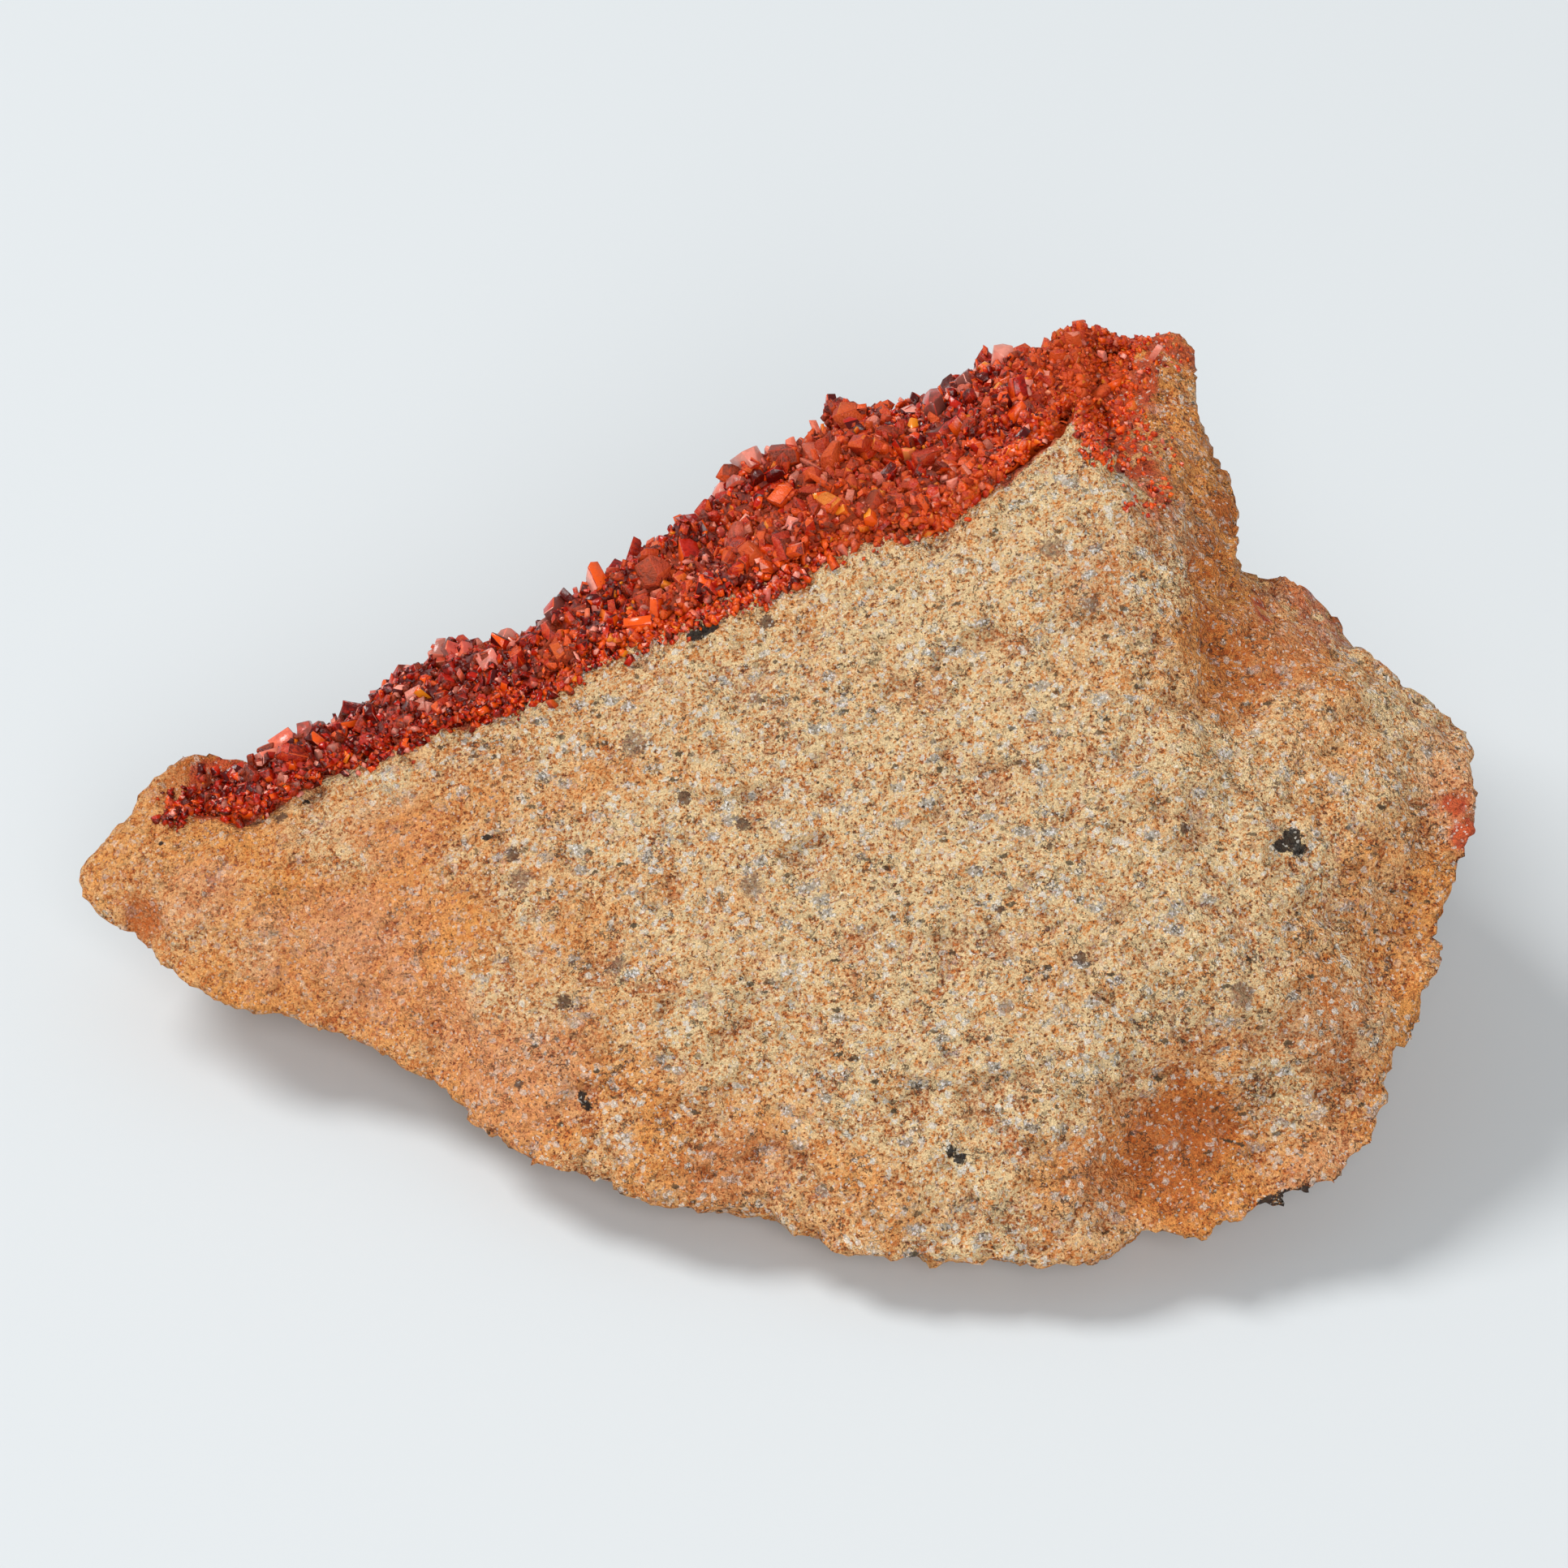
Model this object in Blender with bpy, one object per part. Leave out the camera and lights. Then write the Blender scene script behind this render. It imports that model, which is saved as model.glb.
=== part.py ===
"""A crocoite specimen: a crust of crocoite crystals on a loose block of weathered sandstone.

The block is a loft. Eight guide lines run along it from its left tip to its right tip, and a ball
of quads is wrapped over them. The three guides that face forward are given as they are sighted from
one point: across and up on a plane SIGHT_REACH away, and the height above the table. The guides
behind and below are given in place: right, back and up from the middle of the table. All guides are
in millimetres.
"""

import math
import random

import bmesh
import bpy
from mathutils import Matrix, Vector, noise

MM = 0.001

# Sighting point of the forward guides
SIGHT_TILT = math.radians(38.4)
SIGHT_HEIGHT = 177.8
SIGHT_REACH = 250.0
SIGHT_SETBACK = 205.0

# Loft
STATIONS = 74
SPANS = (
    ("toe", "brow", 12),
    ("brow", "crest", 6),
    ("crest", "rim", 5),
    ("rim", "back", 3),
    ("back", "heel", 2),
    ("heel", "base_back", 1),
    ("base_back", "base_front", 4),
    ("base_front", "toe", 2),
)
ROWS = sum(span[2] for span in SPANS)
GUIDE_SMOOTHING = 4
NORMAL_SMOOTHING = 3

# Break surface of the block
FACE_CROWN, CROWN_FADE = 1.5, 12.0
LUMP_SIZE, LUMP_HEIGHT = 11.0, 1.0
GRIT_SIZE, GRIT_HEIGHT = 3.6, 0.6
GRIT_SHIFT = Vector((7.0, 3.0, 1.0))
LEDGE_SIZE, LEDGE_HEIGHT = 6.5, 0.9
LEDGE_DIP, LEDGE_WANDER = 0.35, 1.5
FRONT_ENDS, BACK_BEGINS = -2.0, 12.0
FLAT_BELOW, ROUGH_ABOVE = 0.4, 2.5
OUTLINE_SHARE = 0.3

# Crust: how far across it reaches, and its far edge, in rows before a guide, along three stretches
CRUST_LEFT, CRUST_RIGHT = -36.6, 21.6
CRUST_EDGE_WANDER = 3.0
TIP_STRETCH, TIP_MARGIN = -34.0, 2.2
THIN_STRETCH, THIN_MARGIN = -25.5, 0.6
BROAD_MARGIN, BROAD_WANDER = 0.7, 1.6
SHOULDER_FROM, SHOULDER_MARGIN, BROW_OVERLAP = 17.0, 0.6, 0.2
CRUST_BED = 2.2
BED_FADES = ((-40.0, -33.0), (19.0, 24.0))
BED_ROWS_NEAR, BED_ROWS_FAR = 2.1, 2.5
CRUST_GAP = 0.4
CRUST_THICKNESS = 0.9
CRUST_EDGE_THICKNESS = 0.5

# Crystals, one on each patch of the crust; a large one takes four patches and a medium one two
LONGEST_PATCH = 2.75
PATCH_WANDER = 0.3
LARGE_SHARE, MEDIUM_SHARE = 0.09, 0.22
CRYSTAL_CLEFT = 0.17
CRYSTAL_HEIGHT = (0.2, 1.2)
LEAST_HEIGHT = 0.1
LARGE_EXTRA = 0.16
CRYSTAL_SLANT = 0.6
CRYSTAL_TAPER = (0.75, 1.0)
EDGE_SHARE = 0.3
SEED = 5
UPPER = "upper"
SORT_LINE = Vector((1.0, 0.618, 0.414))

LEFT_TIP = (-43.4, -5.9, 10.0)
RIGHT_TIP = (43.4, -2.6, 20.0)

# Lower outline of the block, from tip to tip: across, up, height
TOE = (
    LEFT_TIP,
    (-42.9, -7.2, 9.6), (-42.0, -8.3, 9.2), (-41.0, -9.1, 8.8), (-40.0, -9.3, 8.6),
    (-39.5, -9.9, 8.3), (-38.6, -11.2, 8.0), (-37.4, -12.4, 7.7), (-35.8, -13.1, 7.4),
    (-34.6, -13.9, 7.0), (-33.0, -14.1, 6.8), (-31.6, -14.5, 6.5), (-30.8, -14.3, 6.4),
    (-29.6, -15.1, 6.2), (-27.4, -15.7, 6.0), (-25.6, -16.3, 5.8), (-24.2, -17.0, 5.6),
    (-23.4, -17.8, 5.5), (-22.2, -18.2, 5.4), (-20.9, -19.1, 5.3), (-19.6, -20.7, 5.1),
    (-18.2, -21.9, 5.0), (-16.6, -22.7, 4.9), (-14.9, -23.8, 4.8), (-13.0, -24.4, 4.7),
    (-11.2, -25.0, 4.6), (-9.6, -25.3, 4.5), (-7.6, -26.1, 4.5), (-5.2, -26.4, 4.5),
    (-2.6, -26.0, 4.6), (-0.2, -26.5, 4.5), (0.4, -27.2, 4.3), (1.2, -27.6, 4.2),
    (2.2, -27.9, 4.1), (3.4, -28.7, 4.0), (5.2, -29.0, 4.0), (6.4, -29.3, 4.0),
    (9.0, -29.2, 4.0), (12.4, -29.2, 4.0), (14.4, -29.6, 4.0), (16.0, -29.3, 4.0),
    (18.2, -29.7, 4.0), (19.4, -29.3, 4.2), (20.8, -28.3, 4.5), (21.8, -27.7, 4.8),
    (23.0, -27.8, 4.8), (24.6, -28.2, 4.7), (26.0, -28.0, 4.8), (28.6, -27.2, 5.2),
    (30.4, -26.3, 5.5), (32.6, -25.5, 6.0), (34.3, -24.8, 6.4), (35.4, -23.3, 7.0),
    (36.7, -21.9, 7.8), (37.3, -19.8, 8.8), (37.4, -16.5, 10.5), (39.1, -15.1, 11.5),
    (39.3, -13.4, 12.5), (40.6, -11.4, 13.8), (40.8, -8.0, 15.5), (41.7, -5.8, 17.0),
    (42.6, -3.9, 18.5),
    RIGHT_TIP,
)

# Edge where the broken front face meets the top, the shoulder and the shelf
BROW = (
    LEFT_TIP,
    (-42.4, -4.8, 11.0), (-41.0, -3.6, 12.2), (-39.6, -2.8, 13.0), (-38.6, -2.0, 13.6),
    (-35.6, -1.4, 14.4), (-33.2, -2.0, 14.2), (-31.2, -1.0, 15.0), (-28.2, 1.0, 16.6),
    (-25.8, 2.2, 17.6), (-23.2, 3.1, 18.4), (-20.2, 3.6, 19.2), (-17.2, 4.8, 20.4),
    (-13.4, 7.3, 22.6), (-9.2, 9.1, 24.4), (-5.8, 10.3, 25.8), (-1.0, 12.4, 27.8),
    (2.0, 13.9, 29.2), (4.4, 15.3, 30.6), (6.8, 15.6, 31.2), (9.4, 16.1, 32.0),
    (11.8, 17.8, 33.6), (14.2, 19.6, 35.2), (16.2, 21.2, 36.6), (18.2, 23.2, 38.0),
    (19.4, 19.8, 36.6), (21.0, 17.8, 35.2), (22.0, 16.0, 34.0), (24.2, 13.8, 31.8),
    (25.8, 12.6, 30.2), (27.0, 10.8, 29.0), (29.0, 8.6, 27.6), (32.0, 7.0, 26.2),
    (34.4, 5.6, 25.2), (36.6, 5.2, 23.8), (39.0, 3.8, 22.4), (41.0, 2.2, 21.4),
    (42.2, 0.4, 20.8), (43.0, -1.4, 20.3),
    RIGHT_TIP,
)

# Upper outline: the far edge of the top, then the shoulder, its overhanging tip and the shelf
CREST = (
    LEFT_TIP,
    (-43.2, -5.1, 10.6), (-42.2, -4.2, 11.2), (-42.0, -3.4, 11.7), (-41.4, -2.6, 12.2),
    (-40.7, -2.5, 12.4), (-40.4, -1.4, 13.2), (-39.8, -0.7, 13.8), (-39.0, -0.5, 14.0),
    (-37.2, 1.0, 14.8), (-36.0, 1.7, 15.3), (-34.6, 2.1, 15.7), (-33.4, 2.6, 16.0),
    (-31.8, 3.4, 16.4), (-29.4, 4.6, 17.0), (-27.4, 5.2, 17.8), (-25.8, 5.8, 18.4),
    (-24.0, 6.0, 18.7), (-21.6, 6.8, 19.5), (-19.0, 7.6, 20.3), (-16.6, 8.6, 21.3),
    (-14.6, 10.4, 22.6), (-12.6, 11.8, 23.6), (-10.6, 13.5, 24.8), (-8.6, 14.2, 25.4),
    (-6.8, 15.2, 26.2), (-5.2, 17.0, 27.4), (-3.6, 18.8, 28.4), (-1.6, 20.3, 29.3),
    (0.6, 21.2, 29.9), (3.0, 22.2, 30.3), (5.4, 22.4, 30.6), (7.8, 23.4, 31.2),
    (10.4, 24.4, 32.2), (12.8, 25.2, 33.0), (14.8, 26.8, 34.0), (17.0, 27.6, 34.8),
    (19.2, 28.6, 35.5), (21.2, 28.4, 35.6), (22.4, 28.4, 35.3), (24.0, 28.3, 34.8),
    (25.0, 27.6, 34.2), (25.5, 25.9, 33.2), (25.4, 24.6, 32.6), (25.8, 22.2, 31.6),
    (26.3, 19.6, 30.6), (27.2, 18.2, 29.8), (27.6, 17.0, 29.2), (27.6, 15.6, 28.4),
    (27.3, 14.9, 28.0), (27.6, 14.2, 27.5), (26.6, 13.7, 27.6), (26.7, 13.0, 27.0),
    (28.6, 12.9, 26.0), (30.2, 12.8, 25.2), (32.0, 12.0, 24.6), (33.6, 11.1, 23.8),
    (34.8, 9.7, 22.8), (34.8, 8.6, 22.2), (36.2, 7.4, 21.8), (38.6, 5.8, 21.4),
    (40.4, 4.6, 21.0), (41.4, 3.9, 20.7), (42.0, 3.7, 20.5), (42.5, 2.2, 20.4),
    (42.8, 0.2, 20.3), (43.3, -1.6, 20.2),
    RIGHT_TIP,
)

# Guides behind and below, between the tips: right, back, up
RIM = (
    (-41.0, 3.5, 9.5), (-36.0, 6.5, 9.5), (-30.0, 9.5, 10.0), (-22.0, 12.0, 11.5),
    (-14.0, 15.5, 14.5), (-6.0, 20.0, 19.0), (2.0, 26.0, 22.0), (10.0, 29.0, 24.5),
    (18.0, 31.5, 27.0), (25.0, 31.0, 26.0), (29.5, 24.0, 22.0), (32.0, 16.5, 17.5),
    (36.5, 13.0, 15.0), (40.0, 6.0, 14.5), (42.5, -1.0, 16.0),
)
BACK = (
    (-41.0, 3.5, 5.5), (-36.0, 7.5, 4.5), (-30.0, 11.5, 4.5), (-22.0, 15.0, 5.5),
    (-14.0, 19.0, 7.5), (-6.0, 24.0, 10.0), (2.0, 30.0, 12.0), (10.0, 33.5, 13.5),
    (18.0, 35.5, 14.5), (26.0, 34.0, 13.0), (32.0, 27.0, 10.0), (35.5, 18.0, 9.0),
    (38.5, 9.0, 9.5), (41.0, 0.0, 12.0),
)
HEEL = (
    (-40.0, 3.0, 4.5), (-35.0, 6.5, 2.5), (-29.0, 10.5, 1.5), (-21.0, 14.0, 1.5),
    (-13.0, 18.0, 1.5), (-5.0, 23.0, 1.5), (3.0, 28.5, 1.5), (11.0, 32.0, 1.5),
    (19.0, 33.5, 1.5), (26.5, 31.0, 1.5), (32.0, 24.0, 1.8), (35.0, 15.0, 2.5),
    (37.0, 7.0, 4.0), (39.5, -1.5, 8.0),
)
BASE_BACK = (
    (-38.0, 1.0, 3.2), (-33.0, 3.5, 0.8), (-28.0, 7.0, 0.0), (-20.0, 10.5, 0.0),
    (-12.0, 14.5, 0.0), (-4.0, 19.5, 0.0), (4.0, 25.0, 0.0), (12.0, 28.5, 0.0),
    (19.0, 29.5, 0.0), (25.0, 27.0, 0.0), (29.5, 20.5, 0.0), (32.0, 13.0, 0.0),
    (33.5, 5.0, 0.8), (37.0, -2.5, 5.0),
)
BASE_FRONT = (
    (-38.0, -2.0, 3.2), (-33.0, -4.0, 0.8), (-28.0, -5.5, 0.0), (-20.0, -10.5, 0.0),
    (-12.0, -17.0, 0.0), (-4.0, -22.5, 0.0), (4.0, -26.0, 0.0), (12.0, -27.0, 0.0),
    (20.0, -26.5, 0.0), (26.0, -23.5, 0.0), (30.0, -18.0, 0.0), (32.5, -13.0, 0.5),
    (35.0, -9.0, 3.0), (39.0, -8.0, 9.0),
)

# Hollows in the front face: across, up, radius, depth
HOLLOWS = (
    (22.4, -23.6, 3.4, 1.3),
    (26.6, -21.8, 4.0, 2.0),
    (30.6, -22.0, 3.2, 1.4),
    (-39.3, -8.4, 1.3, 0.8),
    (28.0, 8.0, 3.6, 1.5),
    (-21.4, -15.4, 2.6, 0.6),
    (37.0, -9.0, 3.6, 1.2),
    (12.0, 5.6, 5.0, 0.6),
)


def sighted(across, up, height):
    """The point at a height above the table on the sight line through across, up."""
    ahead = SIGHT_REACH * math.cos(SIGHT_TILT) + up * math.sin(SIGHT_TILT)
    fall = SIGHT_REACH * math.sin(SIGHT_TILT) - up * math.cos(SIGHT_TILT)
    stretch = (SIGHT_HEIGHT - height) / fall
    return Vector((across * stretch, ahead * stretch - SIGHT_SETBACK, height))


def as_sighted(point):
    """Across and up of a point as it is sighted."""
    ahead = point.y + SIGHT_SETBACK
    fall = SIGHT_HEIGHT - point.z
    depth = ahead * math.cos(SIGHT_TILT) + fall * math.sin(SIGHT_TILT)
    rise = ahead * math.sin(SIGHT_TILT) - fall * math.cos(SIGHT_TILT)
    return point.x / depth * SIGHT_REACH, rise / depth * SIGHT_REACH


def with_stations(points):
    """The guide with a point at each station: the longest gaps are halved until there are enough."""
    points = list(points)
    while len(points) < STATIONS:
        gaps = [(b - a).length for a, b in zip(points, points[1:])]
        widest = gaps.index(max(gaps))
        points.insert(widest + 1, (points[widest] + points[widest + 1]) / 2)
    return points


def guides():
    """Every guide by name, as a list of one point a station."""
    left, right = sighted(*LEFT_TIP), sighted(*RIGHT_TIP)
    forward = {"toe": TOE, "brow": BROW, "crest": CREST}
    hidden = {"rim": RIM, "back": BACK, "heel": HEEL, "base_back": BASE_BACK, "base_front": BASE_FRONT}
    lines = {name: [sighted(*point) for point in points] for name, points in forward.items()}
    for name, points in hidden.items():
        lines[name] = [left] + [Vector(point) for point in points] + [right]
    return {name: with_stations(points) for name, points in lines.items()}


def smoothed(points):
    """The guide with each point drawn to the mean of its neighbours, its ends kept."""
    last = len(points) - 1
    means = []
    for middle in range(len(points)):
        reach = min(GUIDE_SMOOTHING, middle, last - middle)
        near = points[middle - reach:middle + reach + 1]
        means.append(sum(near, Vector()) / len(near))
    return means


def loft_point(lines, soft, station, row):
    """The loft's point at a station, that many rows round the section from the toe.

    It follows the smoothed guides, and a guide's own ins and outs fade within a few rows of it.
    """
    for start, end, rows in SPANS:
        if row < rows:
            share = row / rows
            place = soft[start][station].lerp(soft[end][station], share)
            place += (lines[start][station] - soft[start][station]) * (1 - share) ** 3
            place += (lines[end][station] - soft[end][station]) * share ** 3
            return place
        row -= rows
    raise ValueError("no such row")


def row_of(name):
    """The row at which a guide lies."""
    row = 0
    for start, _, rows in SPANS:
        if start == name:
            return row
        row += rows
    return row


def smooth_step(value, low, high):
    """0 below low and 1 above high, with an easy rise between."""
    share = min(1.0, max(0.0, (value - low) / (high - low)))
    return share * share * (3 - 2 * share)


def spread_normals(skin):
    """Every vertex's normal, drawn to those of its neighbours so that no two cross."""
    normals = {vert: vert.normal.copy() for vert in skin.verts}
    for _ in range(NORMAL_SMOOTHING):
        drawn = {}
        for vert in skin.verts:
            near = [normals[edge.other_vert(vert)] for edge in vert.link_edges]
            drawn[vert] = (normals[vert] + sum(near, Vector())).normalized()
        normals = drawn
    return normals


def bed_depth(point, row):
    """How far the crust's bed lies below the loft: nothing at the crust's edges."""
    brow, crest, rim = row_of("brow"), row_of("crest"), row_of("rim")
    across, _ = as_sighted(point)
    left, right = BED_FADES
    along = smooth_step(across, *left) * (1 - smooth_step(across, *right))
    near = smooth_step(row, brow - BROW_OVERLAP, brow + BED_ROWS_NEAR)
    far = 1 - smooth_step(row, crest + BED_ROWS_FAR, rim)
    return CRUST_BED * along * near * far


def break_height(point, row):
    """How far the break surface stands above the loft at a point: crown, lumps, grit and ledges."""
    across, up = as_sighted(point)
    crown = FACE_CROWN * math.sin(math.pi * min(1.0, row / row_of("brow")))
    crown *= smooth_step(RIGHT_TIP[0] - abs(across), 0.0, CROWN_FADE)
    lumps = LUMP_HEIGHT * noise.noise(point / LUMP_SIZE)
    grit = GRIT_HEIGHT * noise.noise(point / GRIT_SIZE + GRIT_SHIFT)
    tilted = point.z + LEDGE_DIP * point.x + LEDGE_WANDER * noise.noise(point / LUMP_SIZE)
    step = tilted / LEDGE_SIZE - math.floor(tilted / LEDGE_SIZE)
    behind = smooth_step(point.y, FRONT_ENDS, BACK_BEGINS)
    ledges = LEDGE_HEIGHT * (step - 0.5) * behind
    hollow = 0.0
    for centre_across, centre_up, radius, depth in HOLLOWS:
        away = math.hypot(across - centre_across, up - centre_up) / radius
        hollow += depth * math.exp(-away * away) * (1 - behind)
    return crown + (lumps + grit + ledges) * smooth_step(point.z, FLAT_BELOW, ROUGH_ABOVE) - hollow


def block_mesh():
    """The block's skin in a bmesh, with the station and row of every vertex by its index."""
    lines = guides()
    soft = {name: smoothed(points) for name, points in lines.items()}
    skin = bmesh.new()
    bmesh.ops.create_uvsphere(skin, u_segments=ROWS, v_segments=STATIONS - 1, radius=1.0)
    skin.verts.index_update()
    places = {}
    for vert in skin.verts:
        polar = math.acos(max(-1.0, min(1.0, vert.co.z)))
        station = round(polar / math.pi * (STATIONS - 1))
        row = round(math.atan2(vert.co.y, vert.co.x) / (2 * math.pi) * ROWS) % ROWS
        places[vert.index] = (station, row)
        vert.co = loft_point(lines, soft, station, row)
    skin.normal_update()
    for vert, normal in spread_normals(skin).items():
        row = places[vert.index][1]
        height = break_height(vert.co, row)
        if row in (row_of("toe"), row_of("crest")):
            height *= OUTLINE_SHARE
        vert.co += normal * (height - bed_depth(vert.co, row))
        vert.co.z = max(vert.co.z, 0.0)
    skin.normal_update()
    return skin, places


def grown(skin, distance):
    """A copy of a bmesh with every vertex moved out along its normal."""
    copy = skin.copy()
    normals = {vert: vert.normal.copy() for vert in copy.verts}
    for vert, normal in normals.items():
        vert.co += normal * distance
    copy.verts.index_update()
    return copy


def under_crust(point, row):
    """Whether the crust covers that place of the block."""
    brow, crest, rim = row_of("brow"), row_of("crest"), row_of("rim")
    across, _ = as_sighted(point)
    wander = 1.5 * noise.noise(point / CRUST_EDGE_WANDER)
    if not CRUST_LEFT < across - wander < CRUST_RIGHT:
        return False
    if across < TIP_STRETCH:
        far = crest - TIP_MARGIN
    elif across < THIN_STRETCH:
        far = crest - THIN_MARGIN
    else:
        far = rim - BROAD_MARGIN + BROAD_WANDER * wander
    near = brow + (SHOULDER_MARGIN if across > SHOULDER_FROM else -BROW_OVERLAP)
    return near <= row <= far


def put_in_order(mesh):
    """Numbers a bmesh's parts by where they lie, so that random draws reach the same ones each run."""
    mesh.verts.sort(key=lambda vert: SORT_LINE.dot(vert.co))
    mesh.edges.sort(key=lambda edge: SORT_LINE.dot(edge.verts[0].co + edge.verts[1].co))
    mesh.faces.sort(key=lambda face: SORT_LINE.dot(face.calc_center_median()))


def any_sideways(normal, chance):
    """A level direction across the normal, at random."""
    return normal.cross(Vector(chance.uniform(-1, 1) for _ in range(3))).normalized()


def crust_sheet(skin, places, chance):
    """The crust's own layer: the block's skin where crystals grow, lifted off and thickened.

    Its upper faces are marked in a layer of their own.
    """
    sheet = grown(skin, CRUST_GAP)
    bare = []
    for face in sheet.faces:
        rows = [places[vert.index][1] for vert in face.verts]
        seam = max(rows) - min(rows) > ROWS / 2
        if seam or not under_crust(face.calc_center_median(), sum(rows) / len(rows)):
            bare.append(face)
    bmesh.ops.delete(sheet, geom=bare, context="FACES")
    open_pinches(sheet)
    keep_largest_patch(sheet)
    long = [edge for edge in sheet.edges if edge.calc_length() > LONGEST_PATCH]
    bmesh.ops.subdivide_edges(sheet, edges=long, cuts=1, use_grid_fill=True)
    upper = sheet.faces.layers.int.new(UPPER)
    sheet.normal_update()
    base = {vert.co.copy().freeze(): (vert.normal.copy(), vert.is_boundary) for vert in sheet.verts}
    top = bmesh.ops.extrude_face_region(sheet, geom=sheet.faces[:])["geom"]
    for face in top:
        if isinstance(face, bmesh.types.BMFace):
            face[upper] = 1
    lifted = [vert for vert in top if isinstance(vert, bmesh.types.BMVert)]
    for vert in sorted(lifted, key=lambda vert: SORT_LINE.dot(vert.co)):
        normal, edge = base[vert.co.copy().freeze()]
        vert.co += normal * (CRUST_EDGE_THICKNESS if edge else CRUST_THICKNESS)
        if not edge:
            vert.co += any_sideways(normal, chance) * chance.uniform(0, PATCH_WANDER)
    bmesh.ops.recalc_face_normals(sheet, faces=sheet.faces)
    put_in_order(sheet)
    return sheet


def merge_patches(sheet, chance):
    """Joins some neighbouring upper faces in fours and in pairs, for larger crystals."""
    upper = sheet.faces.layers.int[UPPER]
    joined, middles, borders = set(), [], []
    for vert in sheet.verts:
        four = vert.link_faces
        free = all(face[upper] for face in four) and not joined.intersection(four)
        if free and len(four) == 4 and chance.random() < LARGE_SHARE:
            joined.update(four)
            middles.append(vert)
    for edge in sheet.edges:
        pair = edge.link_faces
        free = all(face[upper] for face in pair) and not joined.intersection(pair)
        if free and chance.random() < MEDIUM_SHARE:
            joined.update(pair)
            borders.append(edge)
    bmesh.ops.dissolve_edges(sheet, edges=borders)
    bmesh.ops.dissolve_verts(sheet, verts=middles)
    put_in_order(sheet)


def grow_crystals(sheet, chance):
    """Draws each upper face out into a blunt crystal with a flat, slanting end."""
    upper = sheet.faces.layers.int[UPPER]
    ends = [face for face in sheet.faces if face[upper]]
    low = {face for face in ends if any(not near[upper] for e in face.edges for near in e.link_faces)}
    sheet.normal_update()
    bmesh.ops.inset_individual(sheet, faces=ends, thickness=CRYSTAL_CLEFT)
    for end in ends:
        middle, normal = end.calc_center_median(), end.normal.copy()
        height = chance.uniform(*CRYSTAL_HEIGHT) + LARGE_EXTRA * (len(end.verts) - 4)
        height *= EDGE_SHARE if end in low else 1.0
        slant = any_sideways(normal, chance) * chance.uniform(0, CRYSTAL_SLANT)
        taper = chance.uniform(*CRYSTAL_TAPER)
        for vert in end.verts:
            out = vert.co - middle
            out -= normal * normal.dot(out)
            vert.co = middle + out * taper + normal * max(height + slant.dot(out), LEAST_HEIGHT)
    bmesh.ops.triangulate(sheet, faces=sheet.faces)
    put_in_order(sheet)


def open_pinches(sheet):
    """Deletes the faces round each vertex at which the sheet's edge touches itself."""
    while True:
        pinches = [v for v in sheet.verts if sum(e.is_boundary for e in v.link_edges) > 2]
        if not pinches:
            return
        faces = {face for vert in pinches for face in vert.link_faces}
        bmesh.ops.delete(sheet, geom=list(faces), context="FACES")


def keep_largest_patch(sheet):
    """Deletes all but the largest patch of joined faces."""
    patches = []
    unseen = set(sheet.faces)
    while unseen:
        patch, edge = set(), [unseen.pop()]
        while edge:
            face = edge.pop()
            patch.add(face)
            for link in face.edges:
                for neighbour in link.link_faces:
                    if neighbour in unseen:
                        unseen.remove(neighbour)
                        edge.append(neighbour)
        patches.append(patch)
    largest = max(patches, key=len)
    bmesh.ops.delete(sheet, geom=[f for f in sheet.faces if f not in largest], context="FACES")
    loose = [vert for vert in sheet.verts if not vert.link_faces]
    bmesh.ops.delete(sheet, geom=loose, context="VERTS")


def shown(name, shape, collection, colour, roughness):
    """An object in metres from a bmesh in millimetres, with its own material."""
    mesh = bpy.data.meshes.new(name)
    shape.to_mesh(mesh)
    shape.free()
    mesh.transform(Matrix.Scale(MM, 4))
    material = bpy.data.materials.new(name)
    material.use_nodes = True
    shader = material.node_tree.nodes["Principled BSDF"]
    shader.inputs["Base Color"].default_value = (*colour, 1.0)
    shader.inputs["Roughness"].default_value = roughness
    mesh.materials.append(material)
    thing = bpy.data.objects.new(name, mesh)
    collection.objects.link(thing)
    return thing


def stand_on_origin(things):
    """Moves the things together so that the middle of their box stands on the origin."""
    corners = [vert.co for thing in things for vert in thing.data.vertices]
    low = Vector(min(corner[axis] for corner in corners) for axis in range(3))
    high = Vector(max(corner[axis] for corner in corners) for axis in range(3))
    for thing in things:
        thing.location = -Vector(((low.x + high.x) / 2, (low.y + high.y) / 2, low.z))


def main():
    for old in list(bpy.data.objects):
        bpy.data.objects.remove(old)
    specimen = bpy.data.collections.new("crocoite_specimen")
    bpy.context.scene.collection.children.link(specimen)

    chance = random.Random(SEED)
    skin, places = block_mesh()
    sheet = crust_sheet(skin, places, chance)
    merge_patches(sheet, chance)
    grow_crystals(sheet, chance)
    bmesh.ops.triangulate(skin, faces=skin.faces)
    matrix = shown("matrix", skin, specimen, colour=(0.52, 0.33, 0.17), roughness=0.9)
    crust = shown("crocoite_crust", sheet, specimen, colour=(0.42, 0.045, 0.015), roughness=0.3)
    stand_on_origin([matrix, crust])


main()
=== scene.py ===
"""Scene of the crocoite specimen.

A loose, wedge-shaped block of weathered rock carries a crust of small red crystals over one of its
joint faces. Sizes in the classes are millimetres. Points named by a pixel are cast from the camera
onto the piece that carries them, so that every mark sits on the surface.
"""

import logging
import math
import random
from dataclasses import dataclass, field
from enum import Enum
from typing import Iterable

import bmesh
import bpy
import numpy as np
from mathutils import Matrix, Vector, noise
from mathutils.bvhtree import BVHTree


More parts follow.
